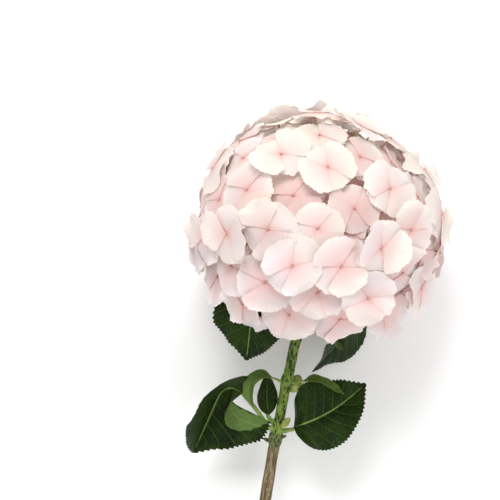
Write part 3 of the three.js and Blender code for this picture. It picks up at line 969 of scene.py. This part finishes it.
# %% Make the cymes
def tinted(piece, floret):
    """Gives a floret its own share of pink, and each sepal its share of cream and lightness.
    Florets that sit deeper are pinker, which is painted shade of the head's recesses, and those
    near the crown, where the key light falls, have more cream and less pink, a painted sunlit top."""
    crown = float(floret["out"][1])
    depth = max(0, floret["level"]) / (LEVELS - 1)
    # painted shade: deeper florets get more pink; painted light: florets near the crown get less
    pink = min(1.0, max(0.0, chance.gauss(0.22 + 0.42 * depth, 0.14) - 0.12 * crown))
    colours = np.ones((FLORET_VERTICES, 4))
    colours[:, 0] = pink
    for k in range(4):
        part = sepal_part(k)
        # painted sunlit top: more cream towards the crown, added to each sepal's random cream
        colours[part, 1] = min(1.0, max(0.0, 0.42 + 0.40 * crown + chance.gauss(0, 0.18)))
        colours[part, 2] = chance.uniform(0.3, 1.0)
    colours[INNER_FACE, 1:3] = [0.1, 1.0]  # undersides are plain and light
    piece.data.color_attributes["tint"].data.foreach_set("color", colours.ravel())


for c in range(CYME_COUNT):
    hub = hubs[c]
    fork = forks[ray_of[c]]
    inward = unit(fork - hub)
    parts = []
    for k, floret in enumerate(in_cyme(c) + inner[c]):
        bloom = copy_of(flat_floret, f"floret_{c + 1:02d}_{k}")
        write(bloom, lay_down(floret["points"]))
        tinted(bloom, floret)
        stalk = copy_of(thin_stalk, f"pedicel_{c + 1:02d}_{k}")
        end = floret["centre"] + floret["facing"] * (-0.0004)
        before = end - floret["facing"] * 0.010
        bend_along(stalk, [hub, hub + (before - hub) * 0.5, before, end], lambda t: 0.00075 + 0.0003 * t**6)
        parts += [bloom, stalk]
    base = copy_of(thin_stalk, f"cyme_stalk_{c + 1:02d}")
    bend_along(base, [hub + inward * CYME_STALK, hub - inward * 0.0008], lambda t: 0.0013 - 0.0003 * t)
    finish_piece(f"florets_{c + 1:02d}", [*parts, base], f"cyme_{c + 1:02d}")
print("cymes made:", CYME_COUNT)

# %% [markdown]
# ## Rays
# The rays are the head's frame: thick green stalks that leave the shoot's knob, fork inside the
# dome and end at the cymes. They show between the florets and from behind. Each is a set of bent
# tubes that grow into one another.


# %% Make the rays
TRUNK_RADIUS, TWIG_RADIUS = 0.0021, 0.0016
for r in range(RAY_COUNT):
    fork = forks[r]
    outward = unit(fork - neck)
    root = neck + outward * (KNOB_RADIUS - 0.0006)
    trunk = copy_of(thick_stalk, f"ray_trunk_{r}")
    path = [root, fork + outward * 0.001]
    bend_along(trunk, path, lambda t: TRUNK_RADIUS - 0.0004 * t + 0.0006 * (1 - t) ** 4)
    parts = [trunk]
    for c in [c for c in range(CYME_COUNT) if ray_of[c] == r]:
        inward = unit(fork - hubs[c])
        end = hubs[c] + inward * (CYME_STALK - 0.0006)
        twig = copy_of(thick_stalk, f"twig_{c}")
        path = [fork - outward * 0.002, fork + (end - fork) * 0.3, end]
        bend_along(twig, path, lambda t: TWIG_RADIUS - 0.00025 * t)
        parts.append(twig)
    finish_piece(f"ray_{r + 1:02d}_stalks", parts, f"ray_{r + 1:02d}")

# %% [markdown]
# ## The finishes of the shoot and the wood
# A hydrangea's young shoot is yellow-green and covered with long dark lenticels, the pores of
# its bark. Below last year's node the same skin has turned to thin tan bark with fine streaks
# along it. Both patterns run along the stem, so the object's coordinates are first turned by the
# stem's lean. A pattern in space rather than on an unwrapped skin leaves no seam.

# %% Coordinates along the stem
def stem_coordinates(tree):
    """Object coordinates turned so that +Y runs up the stem."""
    place = place_on(tree)
    turned = add(tree, "ShaderNodeMapping", {"Vector": place, "Rotation": (-LEAN, 0, 0)})
    return place, turned.outputs[0]


# %% Shoot finish
shoot_finish, tree, shader = new_material("green_shoot_skin")
place, up_the_stem = stem_coordinates(tree)
amount = use(tree, mottle, Place=place, Patches_per_metre=130.0, Fine_share=0.3)
skin = blend(tree, step(tree, amount, 0.35, 0.65), srgb(86, 110, 40), srgb(122, 144, 66))
pores = use(tree, spots, Place=up_the_stem, Spots_per_metre=540.0, Length=0.5, Size=0.40)
fine_pores = use(tree, spots, Place=up_the_stem, Spots_per_metre=900.0, Length=0.5, Size=0.30)
marks = maths(tree, "MAXIMUM", pores, times(tree, fine_pores, 0.6))
colour = blend(tree, times(tree, marks, 0.92), skin, srgb(24, 32, 14))
dress(tree, shader, colour, 0.48, plus(tree, marks, amount), 0.5, 0.0004, specular=0.15)

# %% Wood finish
wood_finish, tree, shader = new_material("woody_bark")
place, up_the_stem = stem_coordinates(tree)
drawn_out = add(tree, "ShaderNodeVectorMath", {0: up_the_stem, 1: (1.0, 0.07, 1.0)}, operation="MULTIPLY")
streaks = add(
    tree, "ShaderNodeTexNoise", {"Vector": drawn_out.outputs[0], "Scale": 900.0, "Detail": 3.0}
).outputs[0]
broad = use(tree, mottle, Place=place, Patches_per_metre=60.0, Fine_share=0.25)
bark = blend(tree, step(tree, streaks, 0.35, 0.7), srgb(86, 72, 46), srgb(148, 132, 102))
bark = blend(tree, times(tree, step(tree, broad, 0.45, 0.7), 0.5), bark, srgb(92, 82, 52))
pale = use(tree, spots, Place=up_the_stem, Spots_per_metre=420.0, Length=0.5, Size=0.22)
bark = blend(tree, times(tree, pale, 0.35), bark, srgb(184, 172, 148))
_, height_up, _ = add(tree, "ShaderNodeSeparateXYZ", {0: place}).outputs
node_y = float(lay_down(stem_point(LOWER_NODE))[0][1])
fresh = step(tree, height_up, node_y - 0.017, node_y - 0.008)
dark = use(tree, spots, Place=up_the_stem, Spots_per_metre=520.0, Length=0.5, Size=0.42)
olive = blend(tree, dark, srgb(96, 106, 58), srgb(40, 44, 26))
bark = blend(tree, fresh, bark, olive)
relief = plus(tree, streaks, times(tree, pale, 0.5))
dress(tree, shader, bark, 0.75, relief, 0.7, 0.0005, specular=0.2)

# %% Cut face finish: bark rim, pale wood and white pith
cut_finish, tree, shader = new_material("cut_wood")
place = place_on(tree)
middle = tuple(lay_down(stem_point(CUT_DEPTH))[0])
from_middle = add(tree, "ShaderNodeVectorMath", {0: place, 1: middle}, operation="DISTANCE").outputs["Value"]
grain = add(tree, "ShaderNodeTexNoise", {"Vector": place, "Scale": 2500.0}).outputs[0]
ringed = plus(tree, from_middle, times(tree, grain, 0.0004))
face = blend(tree, step(tree, ringed, 0.0016, 0.0021), srgb(238, 232, 214), srgb(196, 178, 132))
face = blend(tree, step(tree, ringed, 0.0043, 0.0046), face, srgb(120, 96, 66))
face = blend(tree, times(tree, grain, 0.4), face, srgb(170, 148, 108))
dress(tree, shader, face, 0.85, grain, 0.6, 0.0003)

# %% [markdown]
# ## The stem
# Both parts of the stem are one long tube each, extruded a ring at a time. Then every ring gets
# the radius the plant has there: leaf nodes swell, the shoot ends in a round knob where the rays
# leave, and the old wood has a shallow ridge along each side and a clean cut.


# %% Radius of the shoot and of the wood at a depth below the head's middle
def swell(depth, at, reach):
    return np.exp(-(((depth - at) / reach) ** 2))


def shoot_radius(depth):
    return SHOOT_RADIUS + 0.0004 * (1 - np.asarray(depth) / LOWER_NODE)


def skin_at(depth):
    """How far from the stem's middle a leaf or bud starts."""
    return float(shoot_radius(depth)) + NODE_SWELL + CLEARANCE


def shoot_profile(depth, around):
    radius = shoot_radius(depth) + 0.0011 * swell(depth, LOWER_NODE, 0.008)
    for node, side in ((UPPER_NODE, 146), (MIDDLE_NODE, 156)):
        across = np.cos(around - math.radians(side)) ** 2
        radius = radius + NODE_SWELL * swell(depth, node, 0.0055) * (0.45 + 0.75 * across)
        radius = radius - 0.0004 * swell(depth, node - 0.006, 0.0012)
    knob = KNOB_RADIUS**2 - (depth - NECK_DEPTH) ** 2
    radius = np.maximum(radius * (depth > NECK_DEPTH), np.sqrt(np.clip(knob, 0, None)))
    return radius + 0.00012 * np.sin(5 * around + depth * 160)


def wood_profile(depth, around):
    radius = WOOD_RADIUS - 0.0003 * swell(depth, LOWER_NODE + 0.024, 0.012)
    radius = radius + 0.0010 * swell(depth, LOWER_NODE + 0.004, 0.006)
    radius = radius - 0.0005 * swell(depth, LOWER_NODE + 0.0115, 0.0011)
    radius = radius + 0.0011 * swell(depth, OLD_NODE, 0.005)
    radius = radius - 0.0004 * swell(depth, OLD_NODE - 0.0055, 0.0010)
    radius = radius + 0.00018 * np.cos(2 * around) + 0.00010 * np.sin(7 * around + 2.5 * np.sin(depth * 90))
    return np.minimum(radius, 0.0060)


# %% Make the tubes
KNOB_START, KNOB_END = 0.78, math.pi - 0.15  # where the knob's rounding starts and ends, as angles


def long_tube(name, top, bottom, rings, sides, profile, finish, round_rings=0):
    tube = straight_stalk(name, sides, rings, finish)
    points = read(tube)
    around = np.arctan2(points[:, 1], points[:, 0])
    share = points[:, 2]
    depth = bottom + (top - bottom) * share
    if round_rings:  # rings crowd together towards the top end, where the knob closes
        start = 1 - round_rings / rings
        curl = np.clip((share - start) / (1 - start), 0, 1)
        knob_depth = NECK_DEPTH + KNOB_RADIUS * np.cos(KNOB_START + (KNOB_END - KNOB_START) * curl)
        knob_foot = NECK_DEPTH + KNOB_RADIUS * math.cos(KNOB_START)
        depth = np.where(share > start, knob_depth, bottom + (knob_foot - bottom) * share / start)
    radius = profile(depth, around) * (np.hypot(points[:, 0], points[:, 1]) > 0.5)
    upright = np.column_stack([bow_at(-depth) + radius * np.cos(around), -depth, radius * np.sin(around)])
    laid = lay_down(upright)
    laid[:, 2] = np.maximum(laid[:, 2], 0.00005)
    write(tube, laid)
    only(tube)
    with edit_mode():
        bpy.ops.mesh.normals_make_consistent(inside=False)
    return tube


shoot = long_tube("shoot", NECK_DEPTH, LOWER_NODE, 130, 28, shoot_profile, shoot_finish, round_rings=14)
finish_piece("spotted_shoot", [shoot], "green_shoot")

# %% Old wood and its cut face
CUT_RINGS = (0.0007, 0.0014, 0.0010)  # rings of new faces on the cut, from the bark inwards
wood = long_tube("wood", LOWER_NODE + 0.0004, CUT_DEPTH, 150, 24, wood_profile, wood_finish)
wood.data.materials.append(cut_finish)
cut_face = min(wood.data.polygons, key=lambda face: face.center.y - 10 * (len(face.vertices) > 4)).index
wood.data.polygons[cut_face].material_index = 1
only(wood)
with edit_mode("DESELECT"):
    pass  # a visit that clears the selection
wood.data.polygons[cut_face].select = True
bpy.ops.object.mode_set(mode="EDIT")
bpy.context.tool_settings.mesh_select_mode = (False, False, True)
for ring_width in CUT_RINGS:
    bpy.ops.mesh.inset(thickness=ring_width)
bpy.ops.object.mode_set(mode="OBJECT")
print("faces of the wood:", len(wood.data.polygons))


# %% Dry leaf stubs and sleeping buds
def stub(name, depth, around, length, width, finish, lean):
    """A short pointed stub that leans up along the stem."""
    bpy.ops.mesh.primitive_uv_sphere_add(segments=10, ring_count=8, radius=1)
    piece = bpy.context.object
    piece.name = name
    ball = read(piece)
    narrow = 1 - 0.45 * np.clip(ball[:, 2], 0, 1)
    outward = away_from_stem(around)
    axes = leaning_axes(outward, lean)
    middle = stem_point(depth) + outward * WOOD_RADIUS + axes[2] * length * 0.3
    place_egg(piece, middle, axes, ball[:, 0] * narrow * width / 2, ball[:, 1] * narrow * width / 2,
              ball[:, 2] * length / 2)
    piece.data.materials.append(finish)
    only(piece)
    bpy.ops.object.shade_smooth()
    return piece


scar_finish = plain_skin("dry_scar", srgb(58, 48, 34), srgb(94, 78, 52), 500.0, 0.8)
stubs = [
    stub("stub_a", LOWER_NODE + 0.008, math.radians(184), 0.0075, 0.0034, scar_finish, 1.35),
    stub("stub_b", LOWER_NODE + 0.002, math.radians(20), 0.0060, 0.0032, scar_finish, 1.15),
    stub("old_bud_a", OLD_NODE - 0.003, math.radians(90), 0.0060, 0.0034, scar_finish, 0.5),
    stub("old_bud_b", OLD_NODE - 0.003, math.radians(200), 0.0055, 0.0032, scar_finish, 0.55),
]
finish_piece("old_wood", [wood, *stubs], "woody_stem")

# %% [markdown]
# ## The finish of the leaves
# The upper face is deep green and a little glossy, with paler veins: a midrib and about eight
# pairs that curve towards the tip, and a fine net between them. The underside is paler and matt,
# and its veins stand out. Both read one group, which turns the leaf's own UV map, across and
# along, into masks for the side veins, the midrib and the net.

# %% The leaf veins group
VEIN_PAIRS = 8.0
VEIN_SLANT = 0.30
leaf_veins, v_in, v_out = make_group(
    "leaf_veins",
    [("Across", FLOAT, 0.0), ("Along", FLOAT, 0.0), ("Place", VECTOR, None), ("Width", FLOAT, 0.05)],
    [("Side veins", FLOAT), ("Midrib", FLOAT), ("Net", FLOAT)],
)
t = leaf_veins
half = maths(t, "ABSOLUTE", minus(t, times(t, v_in[0], 2.0), 1.0))
lean = times(t, half, minus(t, VEIN_SLANT, times(t, half, 0.06)))
count = times(t, minus(t, v_in[1], lean), VEIN_PAIRS)
off = maths(t, "ABSOLUTE", minus(t, maths(t, "FRACT", plus(t, count, 4.0)), 0.5))
width = times(t, v_in[3], minus(t, 1.0, times(t, half, 0.55)))
side_veins = step(t, off, minus(t, 0.5, times(t, width, 2.0)), 0.5)
midrib = minus(t, 1.0, step(t, half, 0.012, 0.045))
cells = add(t, "ShaderNodeTexVoronoi", {"Vector": v_in[2], "Scale": 420.0}, feature="DISTANCE_TO_EDGE")
net = minus(t, 1.0, step(t, cells.outputs[0], 0.0, 0.09))
for source, target in ((side_veins, 0), (midrib, 1), (net, 2)):
    t.links.new(source, v_out[target])


# %% Leaf finishes
def leaf_finish(name, dark, light, vein, roughness, vein_share, relief, thin):
    """One face of a leaf. vein_share says how clearly its veins show, relief how far they stand
    out or lie in, and thin how much light comes through."""
    material, tree, shader = new_material(name)
    uv = add(tree, "ShaderNodeUVMap", uv_map="leaf_uv").outputs[0]
    place = place_on(tree)
    across, along, _ = add(tree, "ShaderNodeSeparateXYZ", {0: uv}).outputs
    amount = use(tree, mottle, Place=place, Patches_per_metre=45.0, Fine_share=0.3)
    masks = tree.nodes.new("ShaderNodeGroup")
    masks.node_tree = leaf_veins
    for key, value in (("Across", across), ("Along", along), ("Place", place)):
        tree.links.new(value, masks.inputs[key])
    side_veins, midrib, net = masks.outputs
    colour = blend(tree, step(tree, amount, 0.3, 0.7), dark, light)
    colour = blend(tree, times(tree, net, 0.16), colour, vein)
    colour = blend(tree, times(tree, side_veins, vein_share), colour, vein)
    colour = blend(tree, times(tree, midrib, 0.85), colour, vein)
    height = plus(tree, times(tree, side_veins, relief), times(tree, net, relief * 0.35))
    height = plus(tree, height, times(tree, amount, 0.4))
    dress(tree, shader, colour, roughness, height, 0.6, 0.0006, specular=0.10)
    let_light_through(tree, shader, colour, thin)
    return material


leaf_top = leaf_finish(
    "leaf_upper_face", srgb(9, 24, 3), srgb(36, 56, 12), srgb(92, 120, 52), 0.34, 0.34, -0.8, 0.08
)
leaf_under = leaf_finish(
    "leaf_underside", srgb(74, 100, 46), srgb(98, 124, 64), srgb(136, 158, 98), 0.62, 0.55, 0.9, 0.14
)
young_top = leaf_finish(
    "young_leaf_face", srgb(76, 106, 42), srgb(108, 136, 66), srgb(152, 174, 104), 0.45, 0.4, -0.6, 0.2
)
petiole_finish = plain_skin("leaf_stalk", srgb(98, 128, 46), srgb(130, 154, 74), 90.0, 0.5)

# %% [markdown]
# ## Leaves
# A leaf starts as a grid: its columns run along the midrib and its rows across. Every row takes
# the blade's width at its place, the rim rows go in and out to make the teeth, and the blade
# rises between its side veins like a quilt. The midrib is a curve that leaves the stem and
# bends over; the blade follows it. The leaf stalk is a tube on the same curve, which thins out
# under the blade as the midrib does.

# %% The leaves' places and bends
LEAF_WORDS = "depth around petiole blade width rise turn droop bend fold twist sag wave seed".split()
LEAVES = {  # lengths in millimetres, angles in degrees
    "upper_leaf_left": (93, 139, 32, 60, 62, 16, 74, 184, 0.6, 12, -24, 0, 2.4, 1),
    "upper_leaf_right": (93, -34, 24, 66, 58, 56, 80, 220, 0.55, 12, 60, 14, 2.0, 2),
    "side_leaf_left": (134, 156, 8, 42, 13, 66, 80, 206, 0.8, 26, -20, 0, 0.8, 3),
    "side_leaf_right": (134, 16, 8, 36, 12, 52, 74, 104, 0.6, 26, 15, 2, 0.8, 4),
    "lower_leaf_left": (176, 174, 36, 78, 76, 38, 54, 166, 0.35, 48, -118, 13, 2.2, 5),
    "lower_leaf_right": (176, 10, 8, 72, 58, 60, 58, 38, 0.9, 14, 70, 14, 2.2, 6),
    "axil_leaf": (171, 205, 5, 36, 17, 44, 24, 10, 0.5, 18, -50, 0, 1.0, 7),
}
PETIOLE_SIZE = 0.0036
LEAF_LIFT = 0.0006


# %% The midrib
def midrib_of(leaf):
    """Gives a function from 0 at the root to 1 at the tip to the midrib's places."""
    steps = 160
    length = leaf["petiole"] + leaf["blade"]
    outward = away_from_stem(leaf["around"])
    root = skin_at(leaf["depth"]) + PETIOLE_SIZE / 2 * math.cos(leaf["rise"])
    gone = (np.arange(steps) + 0.5) / steps * length
    angle = leaf["rise"] + (leaf["turn"] - leaf["rise"]) * np.minimum(1, gone / leaf["petiole"])
    bent = smooth(gone, leaf["petiole"], leaf["petiole"] + leaf["bend"] * leaf["blade"])
    angle += (leaf["droop"] - angle) * bent
    moves = (np.outer(np.sin(angle), outward) + np.outer(np.cos(angle), [0, 1, 0])) * length / steps
    points = stem_point(leaf["depth"]) + outward * root + np.vstack([np.zeros(3), np.cumsum(moves, axis=0)])
    points -= np.outer(leaf["sag"] * np.linspace(0, 1, steps + 1) ** 2, UP)
    gaps = np.concatenate([[0], np.cumsum(np.linalg.norm(np.diff(points, axis=0), axis=1))])
    gaps /= gaps[-1]
    return lambda t: np.column_stack([np.interp(t, gaps, points[:, i]) for i in range(3)])


def leaf_frame(leaf, midrib, along):
    """The blade's directions at each place along the midrib: across it, and out of its upper face."""
    tangent = unit_rows(midrib(np.clip(along + 0.015, 0, 1)) - midrib(np.clip(along - 0.015, 0, 1)))
    out_of_plane = np.array([-math.sin(leaf["around"]), 0, math.cos(leaf["around"])])
    sideways = unit_rows(out_of_plane - (tangent @ out_of_plane)[:, None] * tangent)
    turned = (leaf["twist"] * smooth(along, 0, leaf["start"] + 0.15))[:, None]
    sideways = sideways * np.cos(turned) + np.cross(tangent, sideways) * np.sin(turned)
    return sideways, np.cross(sideways, tangent)


# %% The blade
BLADE_ROWS, BLADE_COLUMNS = 56, 12
BLADE_THICKNESS = 0.00045


def blade_outline(share):
    """Half the blade's width at a share of its length, as a share of the widest half."""
    full = np.sin(math.pi * np.clip(share, 0, 1) ** 0.72) ** 0.8
    return np.maximum(0.02, full * (1 - 0.30 * smooth(share, 0.80, 1.0)))


def make_blade(name, leaf, midrib, finishes):
    bpy.ops.mesh.primitive_grid_add(x_subdivisions=BLADE_COLUMNS, y_subdivisions=BLADE_ROWS, size=2)
    blade = bpy.context.object
    blade.name = name
    flat = read(blade)
    across = np.sign(flat[:, 0]) * abs(flat[:, 0]) ** 1.25
    share = (flat[:, 1] + 1) / 2
    row = np.rint(share * BLADE_ROWS).astype(int)
    rim = smooth(abs(across), 0.80, 1.0)
    tooth = np.where(row % 2 == 1, 1.0, -0.5) * rim
    tooth = tooth * smooth(share, 0.10, 0.2) * (1 - smooth(share, 0.97, 1.0))
    half = leaf["width"] / 2
    start = leaf["start"]
    along = start + (1 - start) * np.clip(share + tooth * 0.006, 0, 1)
    reach = half * blade_outline(share) + 0.030 * half * tooth
    slant = VEIN_SLANT * abs(across) - 0.06 * across**2
    quilt = abs(np.sin(math.pi * VEIN_PAIRS * (share - slant))) ** 0.6 - 0.6
    full = smooth(share, 0.02, 0.2) * (1 - smooth(share, 0.85, 1.0))
    height = abs(across) * reach * math.sin(leaf["fold"]) * smooth(share, 0, 0.12)
    height = height + 0.055 * half * quilt * full * (0.35 + 0.65 * np.sin(math.pi * abs(across) ** 0.7))
    height = height - 0.028 * half * np.exp(-((across / 0.08) ** 2)) * full
    seed, wave, side = leaf["seed"], leaf["wave"], np.sign(across)
    height = height + wave * across**2 * full * np.sin(9.5 * share + 2.1 * seed + 1.4 * side)
    height = height + 0.35 * wave * abs(across) ** 3 * full * np.sin(24 * share + seed * side)
    sideways, upper = leaf_frame(leaf, midrib, along)
    points = midrib(along) + sideways * (across * reach)[:, None] + upper * height[:, None]
    points += np.clip(LEAF_LIFT - height_of(points), 0, None)[:, None] * UP
    write(blade, lay_down(points))
    set_uv(blade, "leaf_uv", np.column_stack([0.5 + 0.5 * across, share]))
    for finish in finishes:
        blade.data.materials.append(finish)
    thicken(blade, BLADE_THICKNESS, offset=0, material_offset=1, material_offset_rim=0)
    bpy.ops.object.shade_smooth_by_angle(angle=math.radians(60))
    return blade


# %% The leaf stalk and the rib under the blade
def rib_of(leaf, midrib, bulk):
    """The path and the radius of the leaf stalk, which runs on under the blade as its rib."""
    start = leaf["start"]
    root = midrib(np.array([0.0]))[0]
    inside = stem_point(leaf["depth"]) * 0.55 + root * 0.45

    def radius(t):
        stalk = 0.0017 + 0.0016 * np.exp(-t / 0.035)
        return bulk * (stalk + (0.00045 - stalk) * smooth(t, start * 0.9, start + 0.4 * (1 - start)))

    def path(t):
        along = 0.965 * np.clip((t - 0.05) / 0.95, 0, 1)
        _, upper = leaf_frame(leaf, midrib, along)
        below = 0.0007 + (0.9 * radius(t) - 0.0007) * smooth(t, start * 0.85, start * 1.15)
        places = midrib(along) - upper * below[:, None]
        return places + np.outer(np.clip(1 - t / 0.05, 0, 1), inside - root)

    return path, radius


# %% Make the leaves
YOUNG_WIDTH = 0.016  # blades narrower than this belong to young leaves
YOUNG_BULK = 0.55
for name, values in LEAVES.items():
    leaf = dict(zip(LEAF_WORDS, values))
    for word in ("depth", "petiole", "blade", "width", "sag", "wave"):
        leaf[word] /= 1000
    for word in ("around", "rise", "turn", "droop", "fold", "twist"):
        leaf[word] = math.radians(leaf[word])
    leaf["start"] = leaf["petiole"] / (leaf["petiole"] + leaf["blade"])
    midrib = midrib_of(leaf)
    young = leaf["width"] < YOUNG_WIDTH
    blade = make_blade("blade", leaf, midrib, [young_top if young else leaf_top, leaf_under])
    stalk = straight_stalk("leaf_stalk", 10, 40, petiole_finish)
    bend_along(stalk, *rib_of(leaf, midrib, YOUNG_BULK if young else 1.0))
    finish_piece(f"{name}_blade", [blade, stalk], name)
print("leaves made:", len(LEAVES))

# %% [markdown]
# ## Buds
# Two buds sit in the leaf axils. A bud is a pointed egg wrapped by two scales, so a sphere is
# drawn to a point, and two half shells of the same shape, a little larger and turned, get a
# thickness and close over it.


# %% Make the buds
SCALE_THICKNESS = 0.0003
BUD_SINK = 0.0012  # how far a bud is set into the shoot's skin


def make_bud(name, depth, around, length, width):
    lean = math.radians(35)
    outward = away_from_stem(around)
    axes = leaning_axes(outward, lean)
    away = skin_at(depth) + math.hypot(length / 2 * math.sin(lean), width / 2 * math.cos(lean))
    centre = stem_point(depth) + outward * (away - BUD_SINK)
    parts = []
    for layer in range(3):
        bpy.ops.mesh.primitive_uv_sphere_add(segments=20, ring_count=14, radius=1)
        shell = bpy.context.object
        if layer:
            with edit_mode():
                bpy.ops.mesh.bisect(
                    plane_co=(0, 0, 0.25 * layer), plane_no=(0.9, 0.0, 0.55 - 0.2 * layer), clear_outer=True
                )
        ball = read(shell)
        x, y = spun(ball[:, 0], ball[:, 1], math.pi * layer + 0.4)
        top = np.clip(ball[:, 2], 0, 1)
        narrow = (1 - 0.35 * top**2) * (1 + 0.05 * layer) * (1 + 0.03 * np.cos(4 * np.arctan2(y, x)))
        place_egg(shell, centre, axes, x * narrow * width / 2, y * narrow * width / 2,
                  ball[:, 2] * (1 + 0.02 * layer) * length / 2)
        shell.data.materials.append(bud_finish)
        if layer:
            thicken(shell, SCALE_THICKNESS)
        only(shell)
        bpy.ops.object.shade_smooth()
        parts.append(shell)
    finish_piece(f"{name}_scales", parts, name)


make_bud("middle_bud", MIDDLE_NODE + 0.004, math.radians(-48), 0.015, 0.011)
make_bud("lower_bud", LOWER_NODE - 0.012, math.radians(52), 0.013, 0.005)

# %% Remove the patterns
for pattern in (sepal, eye, thin_stalk, thick_stalk, flat_floret):
    bpy.data.objects.remove(pattern)
